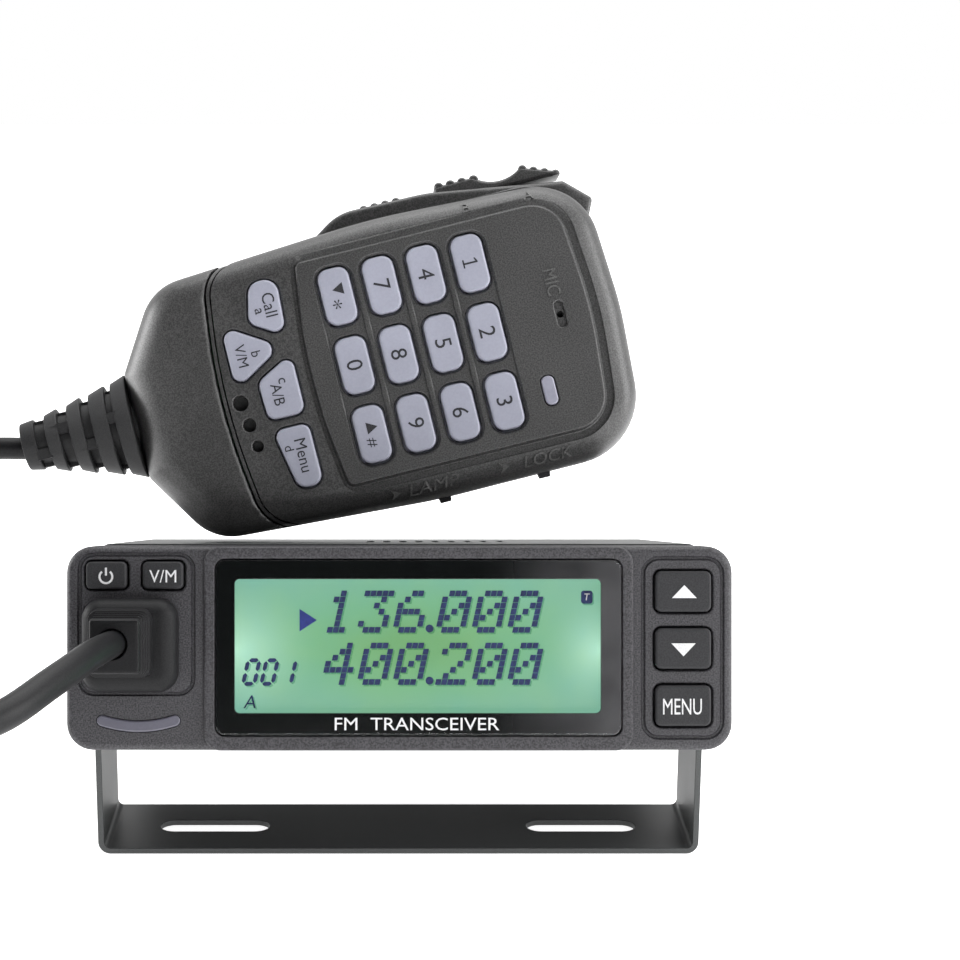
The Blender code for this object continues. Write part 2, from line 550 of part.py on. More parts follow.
def front_shell(mat, mic):
    shell = solid("mic_front_shell", [front_half()], mat["shell"], mic)
    combine(shell, "INTERSECT", "above_seam", [prism(rounded(SEAM), -5, MIC_SPLIT + 5)])
    through = (-OVER, MIC_SKIN + 2)
    cuts = [prism(rounded(box_corners(KEY_W + 0.6, KEY_H + 0.6, KEY_R + 0.3, x, z)), *through)
            for x, z in digit_places().values()]
    cuts += [prism(rounded(corners, -0.25), *through) for corners in SOFT_KEYS.values()]
    cuts += [prism(circle(radius, 10, x, z), *through) for x, z, radius in SOUND_HOLES]
    x, z, width, height, radius = LAMP
    cuts.append(prism(rounded(box_corners(width + 0.4, height + 0.4, radius + 0.2, x, z)), *through))
    cuts.append(prism(circle(0.7, 8, *MOUTH), *through))
    combine(shell, "DIFFERENCE", "key_holes", cuts)
    dips = [prism(rounded(box_corners(40.9, 7.9, 3.0, 0, PITCH_Z * row)), -OVER, 0.4) for row in (1, 0, -1, -2)]
    dips.append(prism(rounded(box_corners(5.2, 1.8, 0.85, *MOUTH)), -OVER, 0.9))
    combine(shell, "DIFFERENCE", "row_recesses", dips)
    ring = layers(KEYPAD, [(-OVER, -1.0), (0.5, -1.0), (0.5, 0), (-OVER, 0)])
    combine(shell, "DIFFERENCE", "keypad_groove", [ring], closed=True)
    slots = [block((24, 8.9, z - 1.5), (33, 12.1, z + 1.5 + SLIDE_TRAVEL)) for z in SLIDE_Z.values()]
    combine(shell, "DIFFERENCE", "slide_slots", slots)


def lower_cap(mat, mic):
    cap = solid("mic_lower_cap", [front_half()], mat["shell"], mic)
    combine(cap, "DIFFERENCE", "below_seam", [prism(rounded(SEAM, -0.4), -5, MIC_SPLIT + 5)])
    combine(cap, "DIFFERENCE", "cap_bore", [relief_bore(6.0)])


def back_shell(mat, mic):
    """The rear half, with the side pod that carries the talk bar."""
    inner = [(MIC_DEPTH - MIC_WALL, 5.0), (MIC_DEPTH - 6, MIC_WALL), (MIC_SPLIT + GAP, MIC_WALL)]
    outer = [(MIC_SPLIT + GAP, 0), (MIC_DEPTH - 6, 0), (MIC_DEPTH - 2, 1.4), (MIC_DEPTH, 5.0)]
    shell = solid("mic_back_shell", [layers(BODY, inner + outer)], mat["shell"], mic)
    pod = [(-27.6, -21.5, 1), (-32.3, -13.0, 5), (-32.3, 5.9, 0.5), (-29.6, 5.9, 0), (-29.6, 33.4, 0),
           (-27.9, 33.6, 0.5), (-22.7, 37.9, 1.0), (-18.7, 36.0, 1.0), (-17.7, 34.4, 0), (-26.9, 26.5, 0)]
    combine(shell, "UNION", "side_pod", [layers(pod, [(14.4, 0.5), (15.0, 0), (26.4, 0), (27.0, 0.5)])])
    cuts = [
        block((-36, 15.3, 6.2), (-28.0, 26.0, 33.1)),
        turned([(21, 2.4), (30, 2.4)], "y", 12, (MIC_MID, 0, 12)),
        relief_bore(6.0),
    ]
    combine(shell, "DIFFERENCE", "back_cuts", cuts)


def mic_keys(mat, mic):
    for name, (x, z) in digit_places().items():
        cap, rim = box_corners(KEY_W, KEY_H, KEY_R), box_corners(KEY_W + 1.5, KEY_H + 1.3, KEY_R)
        rings = layers(cap, [(0, 0.5), (0.35, 0), (3.2, 0)]) + layers(rim, [(3.2, 0), (4.0, 0)])
        solid(name, [rings], mat["keycap"], mic, (x, -KEY_PROUD, z))
    for name, corners in SOFT_KEYS.items():
        x = sum(corner[0] for corner in corners) / len(corners)
        z = sum(corner[1] for corner in corners) / len(corners)
        local = [(cx - x, cz - z, radius) for cx, cz, radius in corners]
        rings = layers(local, [(0, 0.5), (0.35, 0), (3.2, 0), (3.2, -0.45), (4.0, -0.45)])
        solid(name, [rings], mat["keycap"], mic, (x, -KEY_PROUD, z))


def talk_bar(mat, mic):
    """The push-to-talk bar, hinged at its lower end, with a saddle for the thumb and ribs on each side of it."""
    px, _, pz = TALK_PIVOT
    outline = [(-29.3, 6.6, 0.5), (-33.9, 6.6, 0.7), (-33.4, 15.8, 1.5), (-31.1, 20.8, 5), (-33.2, 25.6, 1.4),
               (-30.8, 32.5, 0.8), (-29.3, 32.5, 0.5)]
    local = [(x - px, z - pz, radius) for x, z, radius in outline]
    bar = solid("ptt_bar", [layers(local, [(-5.0, 0.5), (-4.5, 0), (4.3, 0), (4.8, 0.5)])], mat["shell"], mic,
                TALK_PIVOT)
    ribs = []
    for k in range(4):
        ribs.append(prism(circle(0.75, 8, -34.1 + 0.08 * k - px, 8.4 + 2.0 * k - pz), -7, 7))
        ribs.append(prism(circle(0.75, 8, -33.4 + 0.75 * k - px, 26.0 + 1.9 * k - pz), -7, 7))
    combine(bar, "DIFFERENCE", "grip_ribs", ribs)


def mic_insides(mat, mic):
    mat_outline = even_sided(0.2, [(21.6, 14.4, 2), (21.6, -37.0, 3), (15.0, -42.6, 3)])
    solid("keypad_mat", [layers(mat_outline, [(MAT_Y, 0), (MAT_Y + 1.4, 0)])], mat["rubber"], mic)
    board = even_sided(MIC_MID, [(24.0, 32.4, 10), (24.0, -36.0, 2), (12.0, -52.0, 2)])
    solid("mic_board", [layers(board, [(MIC_BOARD_Y, 0), (MIC_BOARD_Y + 1.4, 0)])], mat["board"], mic)
    solid("mic_capsule", [turned([(2.6, 4.0), (6.0, 4.0)], "y", 16)], mat["metal"], mic, (MOUTH[0], 0, MOUTH[1]))
    x, z, width, height, radius = LAMP
    cap, rim = box_corners(width, height, radius), box_corners(width + 1.6, height + 1.4, radius)
    rings = layers(cap, [(-0.15, 0.3), (0.1, 0), (2.6, 0)]) + layers(rim, [(2.6, 0), (3.6, 0)])
    solid("mic_light", [rings], mat["lens"], mic, (x, 0, z))
    stud = [(-4.5, 2.0), (0.3, 2.0), (0.3, 4.2), (1.6, 3.4), (2.6, 3.4), (3.0, 5.8), (4.4, 5.8), (4.9, 5.2)]
    solid("hanger_stud", [turned(stud, "y", 14)], mat["metal"], mic, (MIC_MID, MIC_DEPTH, 12))


def slide_switches(mat, mic):
    for name, z in SLIDE_Z.items():
        knob = block((-1.8, -1.2, -1.15), (2.8, 1.2, 1.15))
        plate = block((-2.9, -2.3, -2.6), (-0.6, 2.2, 2.6))
        switch = solid(name, [plate], mat["button"], mic, (28.2, 10.5, z))
        combine(switch, "UNION", name + "_knob", [knob])


def relief_ring(z, width, depth):
    """One ring of the strain relief: an oval that is wide at the shell and nearly round at the tip."""
    share = (RELIEF_TOP - z) / (RELIEF_TOP - RELIEF_TIP)
    x = RELIEF_X0 + (RELIEF_X1 - RELIEF_X0) * share
    return [(x + u * width, RELIEF_Y + v * depth, z) for u, v in circle(1.0, 14)]


def strain_relief(mat, mic):
    """A tapered rubber sleeve of five ribs with grooves between them, moulded round the cord."""
    ribs = ((-64.6, -68.0, 10.8, 9.7), (-69.3, -72.9, 9.4, 8.3), (-74.7, -77.8, 8.0, 7.0), (-79.9, -82.8, 6.6, 5.8),
            (-85.0, RELIEF_TIP, 5.3, 4.9))
    rings = [relief_ring(-60.5, 5.4, 5.4), relief_ring(RELIEF_TOP, 5.4, 5.4)]
    for number, (top, bottom, wide, narrow) in enumerate(ribs):
        if number:
            rings += [relief_ring(top, narrow - 0.6, narrow - 0.9)]
        deep = 0.9 + 0.02 * number
        rings += [relief_ring(top, wide, wide * deep), relief_ring(bottom, narrow, narrow * deep)]
        if number < len(ribs) - 1:
            rings += [relief_ring(bottom, ribs[number + 1][3] - 0.6, ribs[number + 1][3] - 0.9)]
    relief = solid("strain_relief", [rings], mat["rubber"], mic)
    angles = [radians(a) for a in (0, 20, 40, 60, 78)]
    dish = [(SWING[2] - 3, 2.75)] + [(SWING[2] + 2.75 * sin(a), 2.75 * cos(a)) for a in angles]
    combine(relief, "DIFFERENCE", "cord_dish", [turned(dish, "z", 14, (SWING[0], SWING[1], 0))])


def main():
    for obj in list(bpy.data.objects):
        bpy.data.objects.remove(obj)
    mat = make_materials()
    tilt = empty("tilt_axis", None, (0, 0, PIVOT_HEIGHT), (-LEAN, 0, 0))
    radio = empty("radio_frame", tilt, (0, -PIVOT_Y, 0))
    tip = mic_point(*SWING)
    swing = empty("microphone_swing", radio, tip)
    mic = empty("microphone_frame", swing, [a - b for a, b in zip(MIC_AT, tip)], (0, MIC_TURN, 0))
    bracket(mat)
    for build in (front_panel, display, buttons, front_board, mic_jack, chassis, top_cover, cover_screws,
                  electronics, rear_sockets, dc_lead, thumb_screws, cord, plug_and_boot):
        build(mat, radio)
    for build in (front_shell, lower_cap, back_shell, mic_keys, talk_bar, mic_insides, slide_switches,
                  strain_relief):
        build(mat, mic)


main()
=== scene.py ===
"""Looks of the mobile transceiver: its paints, its printing, its lit display and finer shapes of its parts.

Lengths are millimetres and angles are degrees. Besides the row's own frame, two local frames are used:
  radio       x across, y back from the front panel's face, z up from the panel's middle
  microphone  x across, y back from the keypad's face, z along the microphone, from key 5
"""

import json
from math import acos, cos, pi, radians, sin, tan

import bmesh
import bpy
from mathutils import Matrix, Vector


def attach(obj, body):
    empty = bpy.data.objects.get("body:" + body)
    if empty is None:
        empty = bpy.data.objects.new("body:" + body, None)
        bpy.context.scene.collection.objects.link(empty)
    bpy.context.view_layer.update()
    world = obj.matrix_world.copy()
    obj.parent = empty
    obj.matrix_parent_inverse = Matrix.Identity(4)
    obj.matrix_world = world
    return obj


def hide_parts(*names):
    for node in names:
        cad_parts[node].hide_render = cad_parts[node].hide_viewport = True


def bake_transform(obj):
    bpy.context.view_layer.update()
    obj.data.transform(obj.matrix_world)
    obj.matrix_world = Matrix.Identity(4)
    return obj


MM = 0.001
OVER = 1.0                     # how far a cutter reaches past what it cuts
SHARP, WELD = 40, 0.002        # the least angle of an edge that is rounded; how near points are joined first
PRINT, SUNK = 0.04, 0.02       # how far print stands proud, and how deep its back lies

# Camera, in the radio's frame
CAMERA_AT = (-3.4, -400.0, 24.8)
CAMERA_LENS, CAMERA_SHIFT = 80.7, (0.103, 0.0365)

# Light: the direction the surroundings are brightest in, in the row's frame
SKY = (0.25, 0.85, 0.46)

# Front panel and display
PANEL_W, PANEL_H, PANEL_R, PANEL_DEPTH = 124.0, 38.0, 5.0, 11.0
PANEL_SKIN, PANEL_WALL, PANEL_EDGE = 2.2, 2.0, 1.3
PLATEAU_X, PLATEAU_W, PLATEAU_RISE = 3.55, 79.9, 0.8
WINDOW_W, WINDOW_H, WINDOW_R, WINDOW_Z = 75.2, 32.5, 1.8, 0.2
GLASS_X, GLASS_Z, GLASS_W, GLASS_H = 3.4, 0.4, 68.0, 24.9
GLASS_Y, SEGMENT_Y = 2.6, 2.3
LIGHT_X, LIGHT_Z, LIGHT_BEND, LIGHT_SPREAD, LIGHT_T = -48.5, -14.5, 21.8, 18.0, 2.1
BUTTONS = {
    "button_power": (-54.4, 13.6, 7.6, 5.1, 1.0),
    "button_memory": (-43.9, 13.6, 7.6, 5.1, 1.0),
    "button_up": (52.7, 10.6, 10.4, 7.6, 1.2),
    "button_down": (52.7, 0.0, 10.4, 7.6, 1.2),
    "button_menu": (52.7, -10.6, 10.4, 7.6, 1.2),
}
BUTTON_PROUD = 0.8
# Width, height, corner radius, x and z of the two decorative grooves and of the border's opening
GROOVES = ((22.0, 26.8, 3.2, -48.9, 4.5), (15.6, 34.2, 3.4, 52.65, 0.1))
VIEW = (68.0, 24.9, 0.9, 3.4, 0.45)

# Body, bracket and plug
BODY_W, BODY_FRONT, BODY_BACK, BODY_TOP = 111.4, 11.3, 92.0, 18.2
COVER_T, COVER_GAP = 0.8, 0.3
COVER_SCREWS, COVER_SCREW_Z = {"front": 17.0, "rear": 84.0}, 14
ANTENNA_X, DC_X, EAR_X, REAR_Z = 37.0, -38.0, -24.0, 3.0
SHEET, STRIP, BRACKET_IN, BEND = 1.2, 24.0, 116.0, 2.4
PIVOT_HEIGHT, PIVOT_Y = 40.4, 27.0
SLOT_X, SLOT_L, SLOT_W, PIVOT_BORE = 37.0, 22.0, 6.0, 2.3
PLUG_X, PLUG_Z, JACK_W, JACK_H = -50.8, 0.8, 15.0, 13.6
CORD_R, COIL_R, COIL_PITCH = 2.3, 4.9, 5.4
CORD_X, CORD_Z, CORD_SWELL = -51.5, 1.7, 0.4

# Microphone
MIC_AT = (9.0, 30.0, 59.15)
MIC_MID, MIC_SPLIT, MIC_DEPTH, MIC_WALL, MIC_SKIN = 0.7, 13.5, 28.0, 2.0, 2.2
FACE_DROP = 0.45
SHOULDER = [(FACE_DROP, 6.0), (0.6, 4.9), (1.0, 3.7), (1.6, 2.6), (2.5, 1.7), (3.7, 1.0), (5.2, 0.5),
            (7.2, 0.15), (9.5, 0.0)]
PITCH_X, PITCH_Z = 14.2, 9.1
KEY_W, KEY_H, KEY_R, KEY_PROUD = 11.4, 6.3, 2.2, 0.6
SLIDE_Z = {"lock_switch": 13.8, "lamp_switch": -7.0}
SLIDE_TRAVEL = 2.4
RELIEF_TOP, RELIEF_TIP, RELIEF_X0, RELIEF_X1, RELIEF_Y = -64.6, -88.1, 0.4, -0.95, 13.65
# The strain relief's ribs: top, bottom, half width at the top and at the bottom
RELIEF_RIBS = ((-64.6, -68.0, 10.8, 9.7), (-69.3, -72.9, 9.4, 8.3), (-74.7, -77.8, 8.0, 7.0),
               (-79.9, -82.8, 6.6, 5.8), (-85.0, RELIEF_TIP, 5.3, 4.9))
SWING = (-1.0, 13.65, -89.3)
STUD_Z, SCREW_PLACES = 12, [(x, z) for x in (-19, 19) for z in (26, -40)]
SOUND_HOLES = ((1.9, -42.2, 1.5), (6.6, -41.5, 1.3), (11.1, -40.9, 1.1))
LAMP = (14.3, 18.4, 5.9, 2.6, 1.2)
MOUTH = (0, 24.2)
DIGITS = ("1", "2", "3", "4", "5", "6", "7", "8", "9", "star", "0", "hash")
SOFT_KEYS = {
    "mic_key_call": [(-21.0, -29.3, 2.8), (-9.0, -30.0, 1.9), (-13.2, -36.8, 2.2), (-20.9, -35.0, 2.7)],
    "mic_key_memory": [(-7.3, -31.7, 2.0), (-14.0, -42.4, 1.8), (-0.9, -42.4, 1.8)],
    "mic_key_band": [(-5.4, -30.0, 1.7), (6.7, -30.0, 2.0), (6.7, -37.5, 1.8), (-1.3, -37.8, 2.2)],
    "mic_key_menu": [(8.9, -30.0, 1.8), (21.5, -29.9, 2.3), (21.2, -34.9, 2.1), (8.9, -37.3, 1.8)],
}

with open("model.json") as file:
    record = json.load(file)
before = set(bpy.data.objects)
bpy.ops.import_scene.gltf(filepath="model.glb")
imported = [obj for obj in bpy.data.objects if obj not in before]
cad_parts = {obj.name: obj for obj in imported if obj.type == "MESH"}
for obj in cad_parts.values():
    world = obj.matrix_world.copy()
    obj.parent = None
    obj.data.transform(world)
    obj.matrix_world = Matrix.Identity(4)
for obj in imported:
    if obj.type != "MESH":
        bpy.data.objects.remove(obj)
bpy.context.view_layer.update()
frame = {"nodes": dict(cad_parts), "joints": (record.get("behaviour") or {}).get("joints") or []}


# Frames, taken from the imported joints

def axes_at(x, y, z, origin):
    """A matrix with these three axes as columns, at an origin in metres."""
    return Matrix.Translation(origin) @ Matrix((x, y, z)).transposed().to_4x4()


def local_frames():
    joints = {joint["name"]: joint for joint in frame["joints"]}
    back = Vector(joints["button_power_press"]["axis"]).normalized()
    across = Vector((1, 0, 0))
    up = across.cross(back)
    pivot = Vector(joints["radio_tilt"]["pos_m"])
    radio = axes_at(across, back, up, pivot - back * PIVOT_Y * MM)
    along = Vector(joints["lamp_switch_slide"]["axis"]).normalized()
    microphone = axes_at(back.cross(along), back, along, radio @ (Vector(MIC_AT) * MM))
    return radio, microphone


RADIO, MIC = local_frames()
WORLD = Matrix.Identity(4)


# Outlines

def rounded(corners, inset=0.0, steps=8):
    """A closed outline from (x, z, radius) corners, each rounded by an arc, moved inwards by inset."""
    count = len(corners)
    area = sum(corners[i - 1][0] * corners[i][1] - corners[i][0] * corners[i - 1][1] for i in range(count))
    inwards = 1.0 if area > 0 else -1.0
    lines = []
    for i in range(count):
        a, b = Vector(corners[i][:2]), Vector(corners[(i + 1) % count][:2])
        along = (b - a).normalized()
        lines.append((a + Vector((-along.y, along.x)) * inwards * inset, along))
    points = []
    for i in range(count):
        (p, d), (q, e) = lines[i - 1], lines[i]
        cross = d.x * e.y - d.y * e.x
        corner = p + d * (((q - p).x * e.y - (q - p).y * e.x) / cross)
        if corners[i][2] == 0:
            points.append(tuple(corner))
            continue
        side = 1.0 if cross > 0 else -1.0
        radius = max(corners[i][2] - inset * side * inwards, 0.05)
        angle = acos(max(-1.0, min(1.0, d.dot(e))))
        reach = radius * tan(angle / 2)
        centre = corner - d * reach + Vector((-d.y, d.x)) * side * radius
        spoke = corner - d * reach - centre
        for k in range(steps + 1):
            a = side * angle * k / steps
            points.append((centre.x + spoke.x * cos(a) - spoke.y * sin(a),
                           centre.y + spoke.x * sin(a) + spoke.y * cos(a)))
    return points if inwards > 0 else points[::-1]


def box_corners(width, height, radius, x=0.0, z=0.0):
    w, h = width / 2, height / 2
    return [(x + w, z - h, radius), (x + w, z + h, radius), (x - w, z + h, radius), (x - w, z - h, radius)]


def even_sided(middle, half, top=None, bottom=None):
    """Corners of an outline that is the same on both sides of x = middle, from its right half, top first."""
    right = [(middle + x, z, radius) for x, z, radius in half]
    left = [(middle - x, z, radius) for x, z, radius in half[::-1]]
    ends = [[(middle, *end)] if end else [] for end in (top, bottom)]
    return ends[0] + right + ends[1] + left


def circle(radius, sides=32, x=0.0, z=0.0):
    turns = [2 * pi * k / sides for k in range(sides)]
    return [(x + radius * cos(a), z + radius * sin(a)) for a in turns]


# Outlines: the microphone's back and front, the raised keypad, and all that lies above the lower cap's seam
BODY = even_sided(MIC_MID, [(29.2, 35.6, 14), (29.4, -8, 150), (26.5, -54.6, 11), (10.9, -64.5, 0.8)],
                  top=(37.3, 70))
FRONT_BODY = BODY[:-1] + [(-26.7, 35.6, 13)]
KEYPAD = even_sided(0.35, [(23.0, 28.6, 7), (23.0, -25.0, 1.5)], top=(30.6, 90), bottom=(-28.2, 120))
SEAM = [(-24.6, -43.2, 9), (MIC_MID, -46.4, 120), (26.0, -43.2, 9), (31.0, -33.0, 3), (42, -33.0, 1),
        (42, 50, 1), (-42, 50, 1), (-42, -33.0, 1), (-29.6, -33.0, 3)]


# Stacks of rings

def layers(corners, depths, steps=8):
    """Rings of one outline at (y, inset) pairs."""
    return [[(x, y, z) for x, z in rounded(corners, inset, steps)] for y, inset in depths]


def prism(points, front, back):
    return [[(x, y, z) for x, z in points] for y in (front, back)]


def block(low, high):
    (x0, y0, z0), (x1, y1, z1) = low, high
    return [[(x0, y, z0), (x1, y, z0), (x1, y, z1), (x0, y, z1)] for y in (y0, y1)]


def turned(profile, axis="y", sides=32, centre=(0, 0, 0)):
    """Rings of a turned shape from (distance along the axis, radius) pairs."""
    rings = []
    for along, radius in profile:
        ring = []
        for u, v in circle(radius, sides):
            point = {"x": (along, u, v), "y": (u, along, v), "z": (u, v, along)}[axis]
            ring.append(tuple(c + o for c, o in zip(point, centre)))
        rings.append(ring)
    return rings


def drum(profile, x, z, sides=24):
    """The same, turned about the line through (x, z) that runs from front to back."""
    return turned(profile, "y", sides, (x, 0, z))


def swept(path, radii, sides=12):
    """Rings of a round cord along a path, each turned as little as possible from the one before."""
    path = [Vector(p) for p in path]
    rings, across = [], Vector((0, 0, 1))
    for i, here in enumerate(path):
        along = (path[min(i + 1, len(path) - 1)] - path[max(i - 1, 0)]).normalized()
        across = (across - along * across.dot(along)).normalized()
        other = along.cross(across)
        turns = [2 * pi * k / sides for k in range(sides)]
        rings.append([tuple(here + (across * cos(a) + other * sin(a)) * radii[i]) for a in turns])
    return rings


def curve_through(points, per_span):
    """A smooth path through points: a Catmull-Rom spline."""
    p = [Vector(q) for q in points]
    p = [p[0] * 2 - p[1]] + p + [p[-1] * 2 - p[-2]]
    path = []
    for a, b, c, d in zip(p, p[1:], p[2:], p[3:]):
        for k in range(per_span):
            t = k / per_span
            path.append(0.5 * (2 * b + (c - a) * t + (2 * a - 5 * b + 4 * c - d) * t ** 2
                               + (3 * b - a - 3 * c + d) * t ** 3))
    return path + [p[-2]]


def soft_edge(y, radius, steps=4):
    """(y, inset) pairs that round an outside edge whose face is at y."""
    turns = [pi / 2 * k / steps for k in range(steps + 1)]
    return [(y + radius * (1 - cos(a)), radius * (1 - sin(a))) for a in turns]


def soft_mouth(y, radius, deep, steps=3):
    """(y, inset) pairs of a cutter that leaves a hole with a rounded lip in a face at y."""
    lip = [(depth, -inset) for depth, inset in soft_edge(y, radius, steps)]
    return [(y - OVER, -radius)] + lip + [(deep, 0)]


# The bore for the strain relief, in both halves of the microphone
RELIEF_BORE = turned([(-70, 6.0), (-58, 6.0)], "z", 32, (RELIEF_X0, RELIEF_Y, 0))


# Building

def fill(bm, rings, closed=False):
    """Skins a row of rings of (x, y, z) points. Its ends are capped, or joined to each other if closed."""
    rows = [[bm.verts.new(Vector(p) * MM) for p in ring] for ring in rings]
    pairs = list(zip(rows, rows[1:])) + ([(rows[-1], rows[0])] if closed else [])
    for first, second in pairs:
        for k in range(len(first)):
            n = (k + 1) % len(first)
            bm.faces.new((first[k], first[n], second[n], second[k]))
    if not closed:
        bm.faces.new(rows[0][::-1])
        bm.faces.new(rows[-1])


def shade(obj, angle=35):
    obj.data.shade_smooth()
    obj.data.set_sharp_from_angle(angle=radians(angle))


def as_object(name, bm, where):
    mesh = bpy.data.meshes.new(name)
    bm.to_mesh(mesh)
    bm.free()
    obj = bpy.data.objects.new(name, mesh)
    bpy.context.scene.collection.objects.link(obj)
    obj.matrix_world = where
    shade(obj)
    return obj


def build(name, stacks, where, closed=False):
    """An object from stacks of rings, which are given in millimetres in the frame `where`."""
    bm = bmesh.new()
    for rings in stacks:
        fill(bm, rings, closed)
    bmesh.ops.recalc_face_normals(bm, faces=bm.faces)
    return as_object(name, bm, where)


def bake(obj):
    """Makes an object's modifiers part of its mesh."""
    bpy.context.view_layer.update()
    graph = bpy.context.evaluated_depsgraph_get()
    mesh = bpy.data.meshes.new_from_object(obj.evaluated_get(graph))
    obj.modifiers.clear()
    obj.data = mesh
    shade(obj)


def combine(obj, helper, operation):
    """Cuts a helper from an object, joins it to it, or keeps what they share, and removes the helper."""
    change = obj.modifiers.new("combine", "BOOLEAN")
    change.operation = operation
    change.object = helper
    bake(obj)
    bpy.data.objects.remove(helper)


def carve(obj, stacks, operation="DIFFERENCE", closed=False):
    """The same, with a helper made from stacks of rings."""
    combine(obj, build("helper", stacks, obj.matrix_world, closed), operation)


def bevel(obj, width, segments=2):
    """Rounds an object's sharp edges as it is drawn."""
    change = obj.modifiers.new("soften", "BEVEL")
    change.width = width * MM
    change.segments = segments
    change.limit_method = "ANGLE"
    change.angle_limit = radians(SHARP)


def soften(obj, width, segments=2):
    """Rounds the sharp edges of an object's mesh."""
    bevel(obj, width, segments)
    bake(obj)


def done(obj, body, paint, *stands_for, finish=None):
    """Paints a piece and puts it on its body in place of the CAD node it stands for.

    Its finish argument is not used.
    """
    obj.data.materials.clear()
    obj.data.materials.append(PAINTS[paint])
    even = obj.modifiers.new("even_normals", "WEIGHTED_NORMAL")
    even.keep_sharp = True
    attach(obj, body)
    if stands_for:
        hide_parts(*stands_for)


def kept(node, paint, soft):
    """Paints a CAD node that is shown as it is, and rounds its edges as it is drawn."""
    obj = frame["nodes"][node]
    obj.data.materials.clear()
    obj.data.materials.append(PAINTS[paint])
    weld = obj.modifiers.new("weld", "WELD")
    weld.merge_threshold = WELD * MM
    bevel(obj, soft)


# Printing: letters and marks, drawn in the x, z plane and facing forwards

def mark(bm, points, front, thick=PRINT):
    """Adds a flat figure that stands proud of the face at y = front."""
    fill(bm, prism(points, front - thick, front + SUNK))


def write(bm, text, x, z, front, height, width=None, turn=0.0, thick=PRINT, lean=0.0):
    """Adds text centred on (x, z). Its height and, if given, its width are those before it is turned."""
    curve = bpy.data.curves.new("text", "FONT")
    curve.body = text
    curve.resolution_u = 3
    curve.shear = lean
    curve.extrude = 0.5
    holder = bpy.data.objects.new("text", curve)
    mesh = bpy.data.meshes.new_from_object(holder)
    low = [min(v.co[i] for v in mesh.vertices) for i in (0, 1)]
    high = [max(v.co[i] for v in mesh.vertices) for i in (0, 1)]
    tall = height / (high[1] - low[1])
    wide = width / (high[0] - low[0]) if width else tall
    a = radians(turn)
    for v in mesh.vertices:
        u = (v.co.x - (low[0] + high[0]) / 2) * wide
        w = (v.co.y - (low[1] + high[1]) / 2) * tall
        y = front - thick if v.co.z > 0 else front + SUNK
        v.co = Vector((x + u * cos(a) - w * sin(a), y, z + u * sin(a) + w * cos(a))) * MM
    bm.from_mesh(mesh)
    bpy.data.meshes.remove(mesh)
    bpy.data.objects.remove(holder)


def box_points(x, z, width, height):
    return [(u, w) for u, w, _ in box_corners(width, height, 0, x, z)]


def triangle(x, z, width, height):
    """A triangle that points up, or down if its height is negative."""
    return [(x - width / 2, z - height / 2), (x + width / 2, z - height / 2), (x, z + height / 2)]


def printed(name, body, paint, where, draw):
    """A piece of thin solids that draw adds to it."""
    bm = bmesh.new()
    draw(bm)
    bmesh.ops.remove_doubles(bm, verts=bm.verts, dist=0.001 * MM)
    bmesh.ops.recalc_face_normals(bm, faces=bm.faces)
    obj = as_object(name, bm, where)
    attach(obj, body)
    obj.data.materials.append(PAINTS[paint])


def feed(tree, made, inputs):
    """Sets a node's inputs, which are (socket, value or another node's output) pairs."""
    for socket, value in inputs:
        if isinstance(value, bpy.types.NodeSocket):
            tree.links.new(value, made.inputs[socket])
        else:
            made.inputs[socket].default_value = value


def node(tree, kind, inputs=(), **settings):
    made = tree.nodes.new("ShaderNode" + kind)
    for key, value in settings.items():
        setattr(made, key, value)
    feed(tree, made, inputs)
    return made


def mix_instead(tree, shader, share, first, second):
    """Puts a mix of two shaders in place of a material's main one."""
    mixed = node(tree, "MixShader", [(0, share), (1, first.outputs[0]), (2, second.outputs[0])])
    feed(tree, tree.nodes["Material Output"], [("Surface", mixed.outputs[0])])
    tree.nodes.remove(shader)


def new_paint(name):
    """A material, its node tree, its main shader and its object coordinates in millimetres."""
    paint = bpy.data.materials.new(name)
    paint.use_nodes = True
    tree = paint.node_tree
    place = node(tree, "TexCoord")
    scaled = node(tree, "VectorMath", [(0, place.outputs["Object"]), ("Scale", 1 / MM)], operation="SCALE")
    return paint, tree, tree.nodes["Principled BSDF"], scaled.outputs[0]


def ramp(tree, value, stops):
    """A colour that runs through (position, colour) stops as value grows."""
    made = node(tree, "ValToRGB", [(0, value)])
    points = made.color_ramp.elements
    while len(points) < len(stops):
        points.new(0.5)
    for point, (position, colour) in zip(points, stops):
        point.position = position
        point.color = (*colour, 1.0)
    return made.outputs[0]


